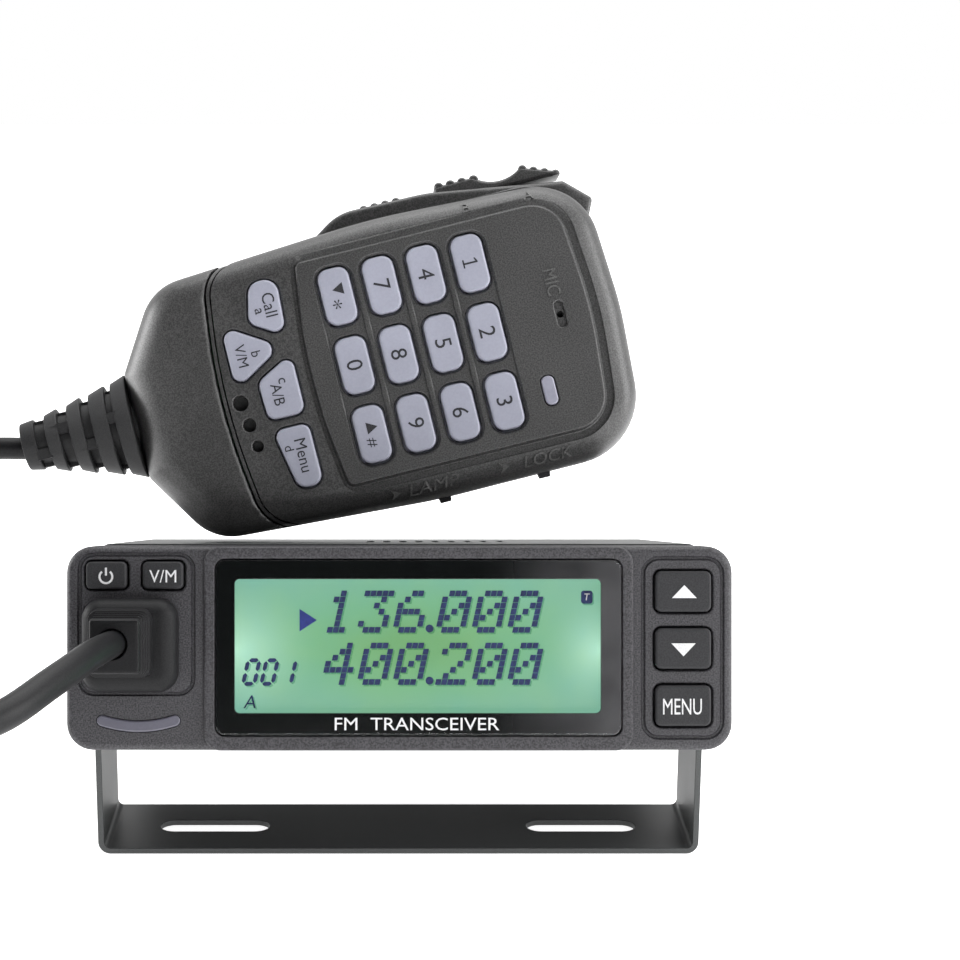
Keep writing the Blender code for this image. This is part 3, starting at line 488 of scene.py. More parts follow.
def grained(name, dark, light, roughness, grain, depth, metallic=0.0, coat=0.0, drawn=(1, 1, 1), sheen=0.5):
    """Moulded or sprayed surface: speckled between two colours, with a fine bump of `depth` millimetres."""
    paint, tree, shader, place = new_paint(name)
    stretched = node(tree, "VectorMath", [(0, place), (1, drawn)], operation="MULTIPLY").outputs[0]
    fine = node(tree, "TexNoise", [("Vector", stretched), ("Scale", 1 / grain), ("Detail", 2.0)]).outputs[0]
    broad = node(tree, "TexNoise", [("Vector", place), ("Scale", 0.06), ("Detail", 3.0)]).outputs[0]
    colour = ramp(tree, fine, [(0.38, dark), (0.62, light)])
    tint = ramp(tree, broad, [(0.3, (0.88, 0.88, 0.88)), (0.7, (1.0, 1.0, 1.0))])
    mixed = node(tree, "Mix", [(0, 1.0), (6, colour), (7, tint)], data_type="RGBA", blend_type="MULTIPLY")
    rough = node(tree, "MapRange", [(0, broad), (3, roughness - 0.05), (4, roughness + 0.07)])
    bump = node(tree, "Bump", [("Height", fine), ("Distance", depth * MM), ("Strength", 1.0)])
    feed(tree, shader, [("Base Color", mixed.outputs[2]), ("Roughness", rough.outputs[0]),
                        ("Normal", bump.outputs[0]), ("Metallic", metallic), ("Coat Weight", coat),
                        ("Specular IOR Level", sheen)])
    return paint


def clear_acrylic():
    """The window's clear front: see-through, with a faint uneven sheen."""
    paint, tree, shader, place = new_paint("clear_acrylic")
    ripple = node(tree, "TexNoise", [("Vector", place), ("Scale", 0.05)]).outputs[0]
    rough = node(tree, "MapRange", [(0, ripple), (3, 0.03), (4, 0.12)]).outputs[0]
    gloss = node(tree, "BsdfGlossy", [("Roughness", rough)])
    clear = node(tree, "BsdfTransparent")
    facing = node(tree, "LayerWeight").outputs["Facing"]
    aslant = node(tree, "Math", [(0, facing), (1, 5.0)], operation="POWER")
    share = node(tree, "MapRange", [(0, aslant.outputs[0]), (3, 0.035), (4, 1.0)])
    mix_instead(tree, shader, share.outputs[0], clear, gloss)
    return paint


def window_border():
    """Gloss black print whose colour pales towards its right end: a painted reflection of the room."""
    paint, tree, shader, place = new_paint("window_border")
    parts = node(tree, "SeparateXYZ", [(0, place)])
    ripple = node(tree, "TexNoise", [("Vector", place), ("Scale", 0.08)]).outputs[0]
    # Painted reflection: the print's colour pales from x = 14 mm to x = 42 mm, made uneven by the ripple.
    along = node(tree, "MapRange", [(0, parts.outputs["X"]), (1, 14.0), (2, 42.0)],
                 interpolation_type="SMOOTHSTEP")
    uneven = node(tree, "Math", [(0, along.outputs[0]), (1, ripple)], operation="MULTIPLY")
    colour = ramp(tree, uneven.outputs[0], [(0.0, (0.002, 0.003, 0.003)), (0.55, (0.085, 0.084, 0.088))])
    feed(tree, shader, [("Base Color", colour), ("Roughness", 0.15)])
    return paint


def glow(tree, place, x, z, wide, high):
    """1 at (x, z), fading to 0 at an ellipse round it."""
    moved = node(tree, "VectorMath", [(0, place), (1, (x, 0, z))], operation="SUBTRACT").outputs[0]
    size = (1 / wide, 0, 1 / high)
    shrunk = node(tree, "VectorMath", [(0, moved), (1, size)], operation="MULTIPLY").outputs[0]
    return node(tree, "TexGradient", [(0, shrunk)], gradient_type="QUADRATIC_SPHERE").outputs["Fac"]


def lit_glass():
    """The LCD's lit ground: yellow-green in the middle, bluer at its edges, brightest beside its lamps."""
    paint, tree, shader, place = new_paint("lit_glass")
    middle = glow(tree, place, GLASS_X, GLASS_Z, GLASS_W * 0.72, GLASS_H * 0.8)
    colour = ramp(tree, middle, [(0.0, (0.215, 0.470, 0.360)), (0.35, (0.180, 0.440, 0.240)),
                                 (0.8, (0.165, 0.385, 0.150))])
    for x, wide, high in ((GLASS_X - GLASS_W / 2, 17, 14), (GLASS_X + GLASS_W / 2, 11, 12)):
        lamp = glow(tree, place, x, GLASS_Z - 1, wide, high)
        mixed = node(tree, "Mix", [(0, lamp), (6, colour), (7, (0.52, 0.86, 0.66, 1))], data_type="RGBA")
        colour = mixed.outputs[2]
    cloud = node(tree, "TexNoise", [("Vector", place), ("Scale", 0.12), ("Detail", 2.0)]).outputs[0]
    tint = ramp(tree, cloud, [(0.3, (0.90, 0.97, 1.0)), (0.7, (1.0, 1.0, 0.90))])
    mixed = node(tree, "Mix", [(0, 1.0), (6, colour), (7, tint)], data_type="RGBA", blend_type="MULTIPLY")
    feed(tree, shader, [("Emission Color", mixed.outputs[2]), ("Emission Strength", 1.0),
                        ("Base Color", (0.02, 0.05, 0.03, 1)), ("Roughness", 0.4)])
    return paint


def soft_shadow():
    """The faint shadow that the LCD's segments throw on the ground behind them."""
    paint, tree, shader, place = new_paint("segment_shadow")
    cloud = node(tree, "TexNoise", [("Vector", place), ("Scale", 0.8)]).outputs[0]
    amount = node(tree, "MapRange", [(0, cloud), (3, 0.55), (4, 0.85)]).outputs[0]
    dark = node(tree, "BsdfTransparent", [("Color", (0.72, 0.82, 0.80, 1))])
    clear = node(tree, "BsdfTransparent")
    mix_instead(tree, shader, amount, clear, dark)
    return paint


PAINTS = {
    "panel": grained("panel_plastic", (0.018, 0.017, 0.020), (0.066, 0.064, 0.071), 0.50, 0.30, 0.030),
    "button": grained("button_plastic", (0.018, 0.018, 0.020), (0.030, 0.030, 0.033),
                      0.52, 0.25, 0.006, sheen=0.35),
    "mask": window_border(),
    "window": clear_acrylic(),
    "lit": lit_glass(),
    "shadow": soft_shadow(),
    "segment": grained("lcd_segment", (0.006, 0.014, 0.085), (0.012, 0.026, 0.135), 0.55, 0.5, 0.001),
    "pointer": grained("lcd_pointer", (0.012, 0.024, 0.200), (0.018, 0.034, 0.260), 0.55, 0.5, 0.001),
    "white": grained("white_print", (0.66, 0.66, 0.67), (0.82, 0.82, 0.83), 0.55, 0.2, 0.004),
    "lens": grained("light_guide", (0.112, 0.110, 0.140), (0.122, 0.119, 0.152), 0.30, 0.6, 0.001, coat=0.3),
    "shell": grained("microphone_plastic", (0.015, 0.015, 0.015), (0.066, 0.065, 0.065),
                     0.40, 0.28, 0.022, sheen=0.75),
    "keycap": grained("keycap_plastic", (0.345, 0.353, 0.428), (0.362, 0.370, 0.448), 0.42, 0.4, 0.002),
    # The raised letters are coloured lighter than the microphone's shell: a painted highlight on the letters.
    "raised": grained("lettering_painted_highlight", (0.075, 0.075, 0.074), (0.125, 0.125, 0.123), 0.40, 0.28, 0.010),
    "lamp": grained("lamp_lens", (0.300, 0.300, 0.370), (0.330, 0.330, 0.400), 0.30, 0.6, 0.001, coat=0.3),
    "ink": grained("dark_print", (0.010, 0.010, 0.014), (0.022, 0.022, 0.028), 0.60, 0.2, 0.004),
    "rubber": grained("black_rubber", (0.007, 0.007, 0.008), (0.015, 0.015, 0.016),
                      0.50, 0.18, 0.008, sheen=0.2),
    "relief": grained("relief_rubber", (0.018, 0.018, 0.019), (0.032, 0.032, 0.033),
                      0.50, 0.18, 0.008, sheen=0.3),
    "cord": grained("cord_rubber", (0.006, 0.006, 0.007), (0.011, 0.011, 0.012),
                    0.40, 0.30, 0.006, sheen=0.25),
    "bracket": grained("painted_sheet", (0.050, 0.053, 0.053), (0.078, 0.082, 0.082), 0.42, 0.20, 0.006, 0.2),
    "cover": grained("cover_paint", (0.060, 0.062, 0.062), (0.090, 0.093, 0.093), 0.45, 0.22, 0.008, 0.2),
    "casting": grained("cast_body", (0.030, 0.030, 0.032), (0.062, 0.062, 0.065), 0.55, 0.45, 0.030, 0.5),
    "nickel": grained("nickel_plate", (0.44, 0.43, 0.40), (0.54, 0.53, 0.50), 0.30, 0.8, 0.002, 1.0),
    "brass": grained("gold_plate", (0.75, 0.52, 0.20), (0.83, 0.60, 0.26), 0.25, 0.8, 0.002, 1.0),
    "screw": grained("black_screws", (0.025, 0.025, 0.027), (0.045, 0.045, 0.048), 0.35, 0.3, 0.004, 0.8),
    "steel": grained("bright_steel", (0.50, 0.50, 0.49), (0.60, 0.60, 0.59),
                     0.30, 0.3, 0.003, 1.0, drawn=(0.1, 1, 1)),
    "board": grained("circuit_board", (0.012, 0.085, 0.030), (0.020, 0.120, 0.045),
                     0.45, 1.6, 0.010, coat=0.5),
    "socket": grained("socket_plastic", (0.014, 0.014, 0.014), (0.028, 0.028, 0.028), 0.38, 0.4, 0.004),
    "insulator": grained("insulator", (0.70, 0.69, 0.64), (0.80, 0.79, 0.74), 0.45, 0.6, 0.004),
    "red": grained("red_insulation", (0.30, 0.010, 0.008), (0.38, 0.016, 0.012), 0.45, 0.3, 0.004),
}


# Radio: front panel, display, buttons

def smile(grow=0.0, steps=16):
    """The status light's outline round its own middle: a band bent along an arc, with round ends."""
    half = LIGHT_T / 2 + grow

    def at(angle, radius):
        return Vector((radius * sin(angle), LIGHT_BEND - radius * cos(angle)))

    def end(angle, way):
        tip = at(angle, LIGHT_BEND)
        out = at(angle, LIGHT_BEND + 1) - tip
        on = Vector((-out.y, out.x)) * way
        return [tuple(tip + (out * cos(t) + on * sin(t)) * half) for t in (pi * k / 8 for k in range(1, 8))]

    spread = [radians(LIGHT_SPREAD) * (2 * k / steps - 1) for k in range(steps + 1)]
    outer = [tuple(at(a, LIGHT_BEND + half)) for a in spread]
    inner = [tuple(at(a, LIGHT_BEND - half)) for a in spread[::-1]]
    return outer + end(spread[-1], 1) + inner + end(spread[0], -1)[::-1]


def glass_plate(grow, radius, depths):
    """Rings of a plate that is larger than the display's glass by grow."""
    return layers(box_corners(GLASS_W + grow, GLASS_H + grow, radius, GLASS_X, GLASS_Z), depths)


def flanged_cap(x, z, size, radius, face, flange, back):
    """Rings of a cap whose rounded face shows, on a wider flange that keeps it behind the wall."""
    (width, height), (start, end) = size, back
    cap = layers(box_corners(width, height, radius, x, z), face + [(start, 0)])
    rim = box_corners(width + flange[0], height + flange[1], radius, x, z)
    return cap + layers(rim, [(start, 0), (end, 0)])


def front_panel():
    """The moulding: its raised middle, its openings, its grooves, and two plates behind its ends."""
    corners = box_corners(PANEL_W, PANEL_H, PANEL_R)
    hollow = [(PANEL_DEPTH, 0), (PANEL_DEPTH, PANEL_WALL), (PANEL_SKIN, PANEL_WALL)]
    panel = build("front_panel_moulding", [layers(corners, soft_edge(0, PANEL_EDGE) + hollow)], RADIO)
    rise = box_corners(PLATEAU_W, PANEL_H - 0.1, 3.2, PLATEAU_X)
    carve(panel, [layers(rise, soft_edge(-PLATEAU_RISE, 0.55) + [(1.6, 0)])], "UNION")
    window = box_corners(WINDOW_W + 0.5, WINDOW_H + 0.5, WINDOW_R, PLATEAU_X, WINDOW_Z)
    through = PANEL_SKIN + OVER
    holes = [
        layers(window, soft_mouth(-PLATEAU_RISE, 0.25, 0.7)),
        layers(box_corners(JACK_W + 0.6, JACK_H + 0.6, 0.6, PLUG_X, PLUG_Z), soft_mouth(0, 0.3, through)),
        prism([(x + LIGHT_X, z + LIGHT_Z) for x, z in smile(0.12)], -OVER, through),
    ]
    for x, z, width, height, radius in BUTTONS.values():
        hole = box_corners(width + 0.6, height + 0.6, radius + 0.3, x, z)
        holes.append(layers(hole, soft_mouth(0, 0.4, through)))
    carve(panel, holes)
    carve(panel, [glass_plate(2, 1.0, [(-OVER, 0), (through, 0)])])
    section = [(-OVER, 0), (0, 0), (0.2, 0.14), (0.6, 0.25), (0.6, 0.6), (0.2, 0.76), (0, 0.9), (-OVER, 0.9)]
    carve(panel, [layers(box_corners(*groove), section) for groove in GROOVES], closed=True)
    done(panel, "radio", "panel", "front_panel")
    cheeks = [block((min(a, b), 10.7, -15.6), (max(a, b), 11.0, 15.6))
              for a, b in ((side * 56.9, side * 59.8) for side in (-1, 1))]
    done(build("panel_cheeks", cheeks, RADIO), "radio", "panel")


def window():
    corners = box_corners(WINDOW_W, WINDOW_H, WINDOW_R, PLATEAU_X, WINDOW_Z)
    mask = build("window_border", [layers(corners, [(-0.70, 0.1), (-0.6, 0), (0.4, 0)])], RADIO)
    carve(mask, [layers(box_corners(*VIEW), soft_mouth(-0.70, 0.15, 1.0))])
    done(mask, "radio", "mask")
    pane = build("window_pane", [layers(corners, [(-0.85, 0.35), (-0.83, 0.15), (-0.74, 0)])], RADIO)
    done(pane, "radio", "window", "display_window")


GLYPHS = {
    "0": ".###. #...# #..## #.#.# ##..# #...# .###.",
    "1": "..#.. .##.. ..#.. ..#.. ..#.. ..#.. .###.",
    "2": ".###. #...# ....# ...#. ..#.. .#... #####",
    "3": "##### ...#. ..#.. ...#. ....# #...# .###.",
    "4": "...#. ..##. .#.#. #..#. ##### ...#. ...#.",
    "6": "..##. .#... #.... ####. #...# #...# .###.",
}
LCD_LINES = (("136000", 10.15), ("400200", 0.4))
DOT_X, DOT_Z, DIGIT_PITCH, POINT_ROOM, LCD_LEAN = 1.117, 1.135, 6.66, 1.4, 0.22
LCD_LEFT = -14.1


def dot_digit(bm, digit, left, top, front):
    """One leaning 5 by 7 dot-matrix digit; left and top are the middle of its first dot."""
    for row, dots in enumerate(GLYPHS[digit].split()):
        for column, dot in enumerate(dots):
            if dot == "#":
                z = top - row * DOT_Z
                x = left + column * DOT_X + (6 - row) * DOT_Z * LCD_LEAN
                w, h = DOT_X * 0.465, DOT_Z * 0.475
                lean = h * LCD_LEAN
                low = [(x - w - lean, z - h), (x + w - lean, z - h)]
                high = [(x + w + lean, z + h), (x - w + lean, z + h)]
                mark(bm, low + high, front)


def bar_digit(bm, digit, left, low, front):
    """One small leaning seven-bar digit, 0 or 1."""
    width, height, half = 2.1, 4.4, 0.38
    bars = {"0": "abcdef", "1": "bc"}[digit]
    ends = {"a": ((0, 1), (1, 1)), "b": ((1, 1), (1, 0.5)), "c": ((1, 0.5), (1, 0)), "d": ((0, 0), (1, 0)),
            "e": ((0, 0), (0, 0.5)), "f": ((0, 0.5), (0, 1))}
    for bar in bars:
        a, b = [Vector((u * width, w * height)) for u, w in ends[bar]]
        along = (b - a).normalized()
        side = Vector((-along.y, along.x)) * half
        a, b = a + along * 0.16, b - along * 0.16
        points = (a, a + along * half - side, b - along * half - side, b, b - along * half + side,
                  a + along * half + side)
        mark(bm, [(left + p.x + p.y * LCD_LEAN, low + p.y) for p in points], front)


def draw_segments(front, dx=0.0, dz=0.0):
    """A function that draws the display's figures at a depth, moved by dx and dz."""
    def draw(bm):
        for digits, top in LCD_LINES:
            for place, digit in enumerate(digits):
                left = LCD_LEFT + DIGIT_PITCH * place + (POINT_ROOM if place >= 3 else 0)
                dot_digit(bm, digit, left + dx, top + dz, front)
            point = LCD_LEFT + DIGIT_PITCH * 3 + POINT_ROOM - 1.63
            mark(bm, circle(0.75, 16, point + dx, top - 6 * DOT_Z + 0.25 + dz), front)
        for place, digit in enumerate("001"):
            bar_digit(bm, digit, -29.2 + 3.4 * place + dx, -6.75 + dz, front)
        write(bm, "A", -28.0 + dx, -10.1 + dz, front, 2.4, 2.3, lean=0.2)
        badge = rounded(box_corners(2.15, 2.45, 0.5, 35.05 + dx, 9.45 + dz))
        mark(bm, badge, front)
    return draw


def display():
    """The lit glass with its figures and their shadows, the title under it and the status light."""
    glass = glass_plate(3, 0.5, soft_edge(GLASS_Y, 0.3) + [(5.4, 0)])
    done(build("lcd_glass", [glass], RADIO), "radio", "lit", "lcd_panel")
    printed("lcd_segments", "radio", "segment", RADIO, draw_segments(SEGMENT_Y))
    printed("lcd_segment_shadows", "radio", "shadow", RADIO,
            draw_segments(GLASS_Y - 0.05, 0.28, -0.30))
    printed("lcd_pointer", "radio", "pointer", RADIO,
            lambda bm: mark(bm, [(-18.65, 3.05), (-15.4, 5.15), (-18.65, 7.25)], SEGMENT_Y))
    printed("lcd_badge_letter", "radio", "white", RADIO,
            lambda bm: write(bm, "T", 35.1, 9.5, SEGMENT_Y - 0.05, 1.25, 1.0, lean=0.15))
    printed("display_title", "radio", "white", RADIO,
            lambda bm: write(bm, "FM  TRANSCEIVER", 3.25, -13.95, -0.86, 2.35, 30.5))
    light = [[(x + LIGHT_X, y, z + LIGHT_Z) for x, z in smile(-inset)]
             for y, inset in soft_edge(-0.25, 0.35) + [(3.1, 0)]]
    done(build("status_light", [light], RADIO), "radio", "lens", "status_light_pipe")


def power_mark(bm):
    x, z, front = -54.45, 13.35, -BUTTON_PROUD
    inner, outer, gap, steps = 1.0, 1.38, radians(38), 20
    turns = [pi / 2 + gap + (2 * pi - 2 * gap) * k / steps for k in range(steps + 1)]
    ring = [(x + outer * cos(a), z + outer * sin(a)) for a in turns]
    ring += [(x + inner * cos(a), z + inner * sin(a)) for a in turns[::-1]]
    mark(bm, ring, front)
    mark(bm, rounded(box_corners(0.38, 1.5, 0.1, x, z + 0.95)), front)


def buttons():
    legends = {
        "button_power": power_mark,
        "button_memory": lambda bm: write(bm, "V/M", -43.9, 13.45, -BUTTON_PROUD, 2.35, 5.0),
        "button_up": lambda bm: mark(bm, triangle(52.85, 10.6, 4.6, 2.4), -BUTTON_PROUD),
        "button_down": lambda bm: mark(bm, triangle(52.7, -0.2, 4.5, -2.4), -BUTTON_PROUD),
        "button_menu": lambda bm: write(bm, "MENU", 52.5, -10.75, -BUTTON_PROUD, 2.95, 7.2),
    }
    for name, (x, z, width, height, radius) in BUTTONS.items():
        face = soft_edge(-BUTTON_PROUD, 0.5)
        cap = flanged_cap(x, z, (width, height), radius, face, (1.2, 1.2), (2.6, 3.5))
        done(build(name + "_cap", [cap], RADIO), name, "button", name)
        printed(name + "_legend", name, "white", RADIO, legends[name])


# Radio: body, bracket, sockets

def top_cover():
    """A folded sheet with sound slots in its top and screw holes in its sides."""
    inside = BODY_W / 2 + COVER_GAP
    outside, top, low = inside + COVER_T, BODY_TOP + COVER_GAP + COVER_T, 10.0
    under = top - COVER_T
    corners = [(-outside, low, 0), (-inside, low, 0), (-inside, under, 0.6), (inside, under, 0.6),
               (inside, low, 0), (outside, low, 0), (outside, top, 1.4), (-outside, top, 1.4)]
    lid = build("cover_sheet", [prism(rounded(corners), BODY_FRONT, BODY_BACK)], RADIO)
    cuts = []
    for k in range(-4, 5):
        slot = rounded(box_corners(1.6, 24, 0.78, 8 + 3.4 * k, 48))
        cuts.append([[(x, y, z) for x, y in slot] for z in (top - 2, top + OVER)])
    for side in (-1, 1):
        through = [(side * (inside - OVER), 1.5), (side * (outside + OVER), 1.5)]
        cuts += [turned(through, "x", 20, (0, y, COVER_SCREW_Z)) for y in COVER_SCREWS.values()]
    carve(lid, cuts)
    soften(lid, 0.12)
    done(lid, "radio", "cover", "top_cover")


def cover_screws():
    """Screws with a cross cut in their heads, two in each side of the cover."""
    outside = BODY_W / 2 + COVER_GAP + COVER_T
    profile = [(-5.0, 1.15), (0.2, 1.15), (0.2, 2.3), (0.35, 2.4), (0.55, 2.3), (0.8, 1.9), (0.95, 1.2),
               (1.0, 0.5)]
    for side_name, side in (("left", -1), ("right", 1)):
        rings = [(side * (outside + along), radius) for along, radius in profile]
        x0, x1 = sorted((side * (outside + 0.35), side * (outside + 2)))
        for place, y in COVER_SCREWS.items():
            name = f"cover_screw_{side_name}_{place}"
            made = build(name + "_cross_head", [turned(rings, "x", 24, (0, y, COVER_SCREW_Z))], RADIO)
            for u, w in ((0.22, 1.3), (1.3, 0.22)):
                carve(made, [block((x0, y - u, COVER_SCREW_Z - w), (x1, y + u, COVER_SCREW_Z + w))])
            done(made, "radio", "screw", name)


def bracket():
    """A strip folded into a U, with round ends, two pivot holes and two slots."""
    out, deep = BRACKET_IN / 2 + SHEET, STRIP / 2
    inn, top = out - SHEET, PIVOT_HEIGHT + STRIP / 2
    corners = [(-out, top, 0), (-out, 0, BEND), (out, 0, BEND), (out, top, 0),
               (inn, top, 0), (inn, SHEET, BEND - SHEET), (-inn, SHEET, BEND - SHEET), (-inn, top, 0)]
    strip = build("bracket_sheet", [prism(rounded(corners), -deep, deep)], WORLD)
    wide = deep + 0.02
    ear = [(wide * cos(pi * k / 40), PIVOT_HEIGHT + wide * sin(pi * k / 40)) for k in range(41)]
    keep = ear + [(-wide, -OVER), (wide, -OVER)]
    carve(strip, [[[(x, y, z) for y, z in keep] for x in (-out - 2, out + 2)]], "INTERSECT")
    holes = [turned([(-out - OVER, PIVOT_BORE), (out + OVER, PIVOT_BORE)], "x", 32, (0, 0, PIVOT_HEIGHT))]
    for side in (-1, 1):
        slot = rounded(box_corners(SLOT_L, SLOT_W, SLOT_W / 2 - 0.01, side * SLOT_X))
        holes.append([[(x, y, z) for x, y in slot] for z in (-OVER, SHEET + OVER)])
    carve(strip, holes)
    soften(strip, 0.18, 3)
    done(strip, "bracket", "bracket", "mounting_bracket")


def thumb_screws():
    """Knurled heads with a slot across them."""
    out, ridges = BRACKET_IN / 2 + SHEET, 36
    for name, side in (("thumb_screw_left", -1), ("thumb_screw_right", 1)):
        shaft = turned([(side * (out - 9.2), 1.95), (side * (out + 0.3), 1.95), (side * (out + 0.3), 4.6),
                        (side * (out + 1.1), 4.6)], "x", 24, (0, PIVOT_Y, 0))
        rings = []
        for along, grow in ((1.0, -0.5), (1.3, 0), (4.5, 0), (4.9, -0.5), (4.9, -1.8), (4.5, -2.2)):
            ring = []
            for k in range(ridges * 2):
                a = pi * k / ridges
                radius = 6.6 + grow - (0.3 if k % 2 and grow > -0.1 else 0)
                ring.append((side * (out + along), PIVOT_Y + radius * cos(a), radius * sin(a)))
            rings.append(ring)
        head = build(name + "_knurled", [rings], RADIO)
        carve(head, [shaft], "UNION")
        x0, x1 = sorted((side * (out + 3.7), side * (out + 6)))
        carve(head, [block((x0, PIVOT_Y - 3.4, -0.5), (x1, PIVOT_Y + 3.4, 0.5))])
        done(head, name, "screw", name)


def threaded(start, end, pitch, crest, root):
    """(along, radius) pairs of a thread's ridges."""
    profile, along = [], start
    while along < end - pitch / 2:
        profile += [(along, root), (along + pitch / 2, crest)]
        along += pitch
    return profile + [(end, root)]


def antenna_socket():
    """A threaded barrel on a square flange with four rivets, its insulator and its contact."""
    flange = layers(box_corners(18, 18, 1.0, ANTENNA_X), [(92.3, 0), (94.2, 0), (94.5, 0.3)])
    socket = build("antenna_flange", [flange], RADIO)
    barrel = [(94.0, 7.9), (95.5, 7.9)] + threaded(95.6, 106.6, 1.0, 7.9, 7.35) + [(107.3, 7.0)]
    carve(socket, [drum(barrel, ANTENNA_X, 0, 40)], "UNION")
    carve(socket, [drum([(97.0, 6.2), (108.0, 6.2)], ANTENNA_X, 0, 40)])
    heads = [drum([(94.0, 1.7), (95.2, 1.6), (95.5, 1.2)], ANTENNA_X + u * 6.6, w * 6.6, 20)
             for u in (-1, 1) for w in (-1, 1)]
    carve(socket, heads, "UNION")
    tail = drum([(83.5, 4.6), (92.6, 4.6)], ANTENNA_X, 0)
    carve(socket, [tail], "UNION")
    done(socket, "radio", "nickel", "antenna_socket")
    insulation = [(97.0, 6.1), (100.5, 6.1), (100.9, 5.7), (100.9, 2.4), (104.5, 2.3)]
    core = build("antenna_insulator", [drum(insulation, ANTENNA_X, 0, 32)], RADIO)
    carve(core, [drum([(99.5, 1.7), (105, 1.7)], ANTENNA_X, 0)])
    done(core, "radio", "insulator")
    pin = [(97.5, 1.6), (104.8, 1.6), (105.2, 1.3), (105.2, 1.0), (101.0, 0.9)]
    done(build("antenna_contact", [drum(pin, ANTENNA_X, 0)], RADIO), "radio", "brass")


def speaker_socket():
    sleeve = [(83, 3.1), (92.3, 3.1), (92.3, 4.2), (94.2, 4.2), (94.4, 4.0)]
    ear = build("speaker_socket", [drum(sleeve, EAR_X, REAR_Z, 32)], RADIO)
    carve(ear, [drum([(84, 1.8), (95.4, 1.8)], EAR_X, REAR_Z)])
    done(ear, "radio", "socket", "speaker_jack")


def dc_lead():
    """Two insulated wires side by side, leaving the rear wall through one grommet, and their two-way plug."""
    bends = [(0, -8, 0), (0, 3, 0), (1.5, 9, -0.5), (8, 14.5, -3), (18, 16, -6), (28, 16, -7)]
    path = [p + Vector((DC_X, BODY_BACK, REAR_Z)) for p in curve_through(bends, 8)]
    for name, paint, side, stands_for in (("red", "red", 1.15, ["dc_lead"]), ("black", "socket", -1.15, [])):
        rings = swept([p + Vector((0, 0, side)) for p in path], [1.2] * len(path))
        wire = build(f"dc_lead_{name}_wire", [rings], RADIO)
        done(wire, "radio", paint, *stands_for, finish="black_rubber")
    lips = [(91.0, 2.9), (92.6, 2.9), (92.6, 3.6), (93.6, 3.3), (93.8, 2.6)]
    done(build("dc_grommet", [drum(lips, DC_X, REAR_Z, 32)], RADIO), "radio", "rubber")
    x, y, z = DC_X + 27.4, BODY_BACK + 16, REAR_Z - 7
    corners = box_corners(9.0, 7.4, 1.2)
    rings = [[(x + along, y + u, z + w) for u, w in rounded(corners, inset)]
             for along, inset in soft_edge(0, 0.6) + [(16.6, 0), (17.0, 0.4)]]
    plug = build("dc_plug_housing", [rings], RADIO)
    pockets = [block((x + 9, y + u - 1.5, z - 2.0), (x + 18, y + u + 1.5, z + 2.0)) for u in (-2.1, 2.1)]
    pockets.append(block((x + 2.0, y - 3.0, z + 3.3), (x + 8.0, y + 3.0, z + 4.6)))
    carve(plug, pockets)
    soften(plug, 0.15)
    done(plug, "radio", "socket", "dc_plug")


def cad_shown_as_it_is():
    for name, paint, soft in (("chassis", "casting", 0.3), ("mic_jack", "socket", 0.15),
                              ("mic_plug", "socket", 0.25), ("speaker", "steel", 0.15),
                              ("front_board", "board", 0.15), ("keypad_mat", "rubber", 0.3)):
        kept(name, paint, soft)


def stepped_block(name, paint, stands_for, low, high, steps):
    """A board or box in the radio with smaller blocks standing on it."""
    made = build(name, [block(low, high)], RADIO)
    for step in steps:
        carve(made, [block(*step)], "UNION")
    soften(made, 0.12)
    done(made, "radio", paint, stands_for)


def radio_insides():
    chips = [((x, y, -11.2), (x + w, y + d, -11.0 + h))
             for x, y, w, d, h in ((-44, 24, 12, 12, 1.4), (-26, 30, 8, 8, 1.2), (-30, 50, 14, 6, 2.0),
                                   (-44, 58, 6, 10, 3.5), (4, 62, 10, 5, 1.6))]
    stepped_block("main_board_with_parts", "board", "main_board", (-51, 15, -12.6), (51, 80, -11.0), chips)
    lids = [((2, 22, -4.3), (20, 52, -3.9)), ((24, 22, -4.3), (42, 52, -3.9))]
    stepped_block("shield_can", "nickel", "rf_shield", (0, 20, -10.6), (44, 54, -4.2), lids)
    lid = ((-11, 73, -1.6), (11, 80, 0.0))
    stepped_block("power_module_body", "socket", "power_module", (-13, 71.5, -10.0), (13, 81.5, -1.5), [lid])
    guide = build("backlight_guide", [glass_plate(2, 0.5, soft_edge(5.8, 0.3) + [(8.6, 0)])], RADIO)
    carve(guide, [layers(box_corners(4, 14, 0.8, GLASS_X + side * 33, GLASS_Z), [(7.6, 0), (9, 0)])
                  for side in (-1, 1)])
    done(guide, "radio", "lens", "backlight")


def microphone_insides():
    board = even_sided(MIC_MID, [(24.0, 32.4, 10), (24.0, -36.0, 2), (12.0, -52.0, 2)])
    plate = build("microphone_board", [layers(board, [(6.4, 0), (7.8, 0)])], MIC)
    chips = [block((x, 7.6, z), (x + 6, 9.2, z + 5)) for x, z in ((-14, 8), (4, -12), (-10, -30))]
    carve(plate, chips, "UNION")
    done(plate, "microphone", "board", "mic_board")
    capsule = [(2.6, 3.2), (2.7, 3.8), (3.0, 4.0), (6.0, 4.0), (6.0, 3.4)]
    can = build("microphone_capsule", [drum(capsule, *MOUTH, 32)], MIC)
    carve(can, [drum([(1.0, 0.6), (3.4, 0.6)], *MOUTH, 16)])
    done(can, "microphone", "socket", "mic_capsule")
    # A dark sheet behind the sound holes: painted shade, so that the holes show black.
    hole_shade_sheet = layers(box_corners(14, 7, 2.5, 6.0, -41.5), soft_edge(3.3, 0.2) + [(3.8, 0)])
    done(build("dark_sheet_behind_holes", [hole_shade_sheet], MIC), "microphone", "socket", finish="black_rubber")


# Plug, boot and cord

def mic_point(x, y, z):
    """A point given in the microphone's frame, in the radio's frame."""
    return RADIO.inverted() @ (MIC @ (Vector((x, y, z)) * MM)) / MM


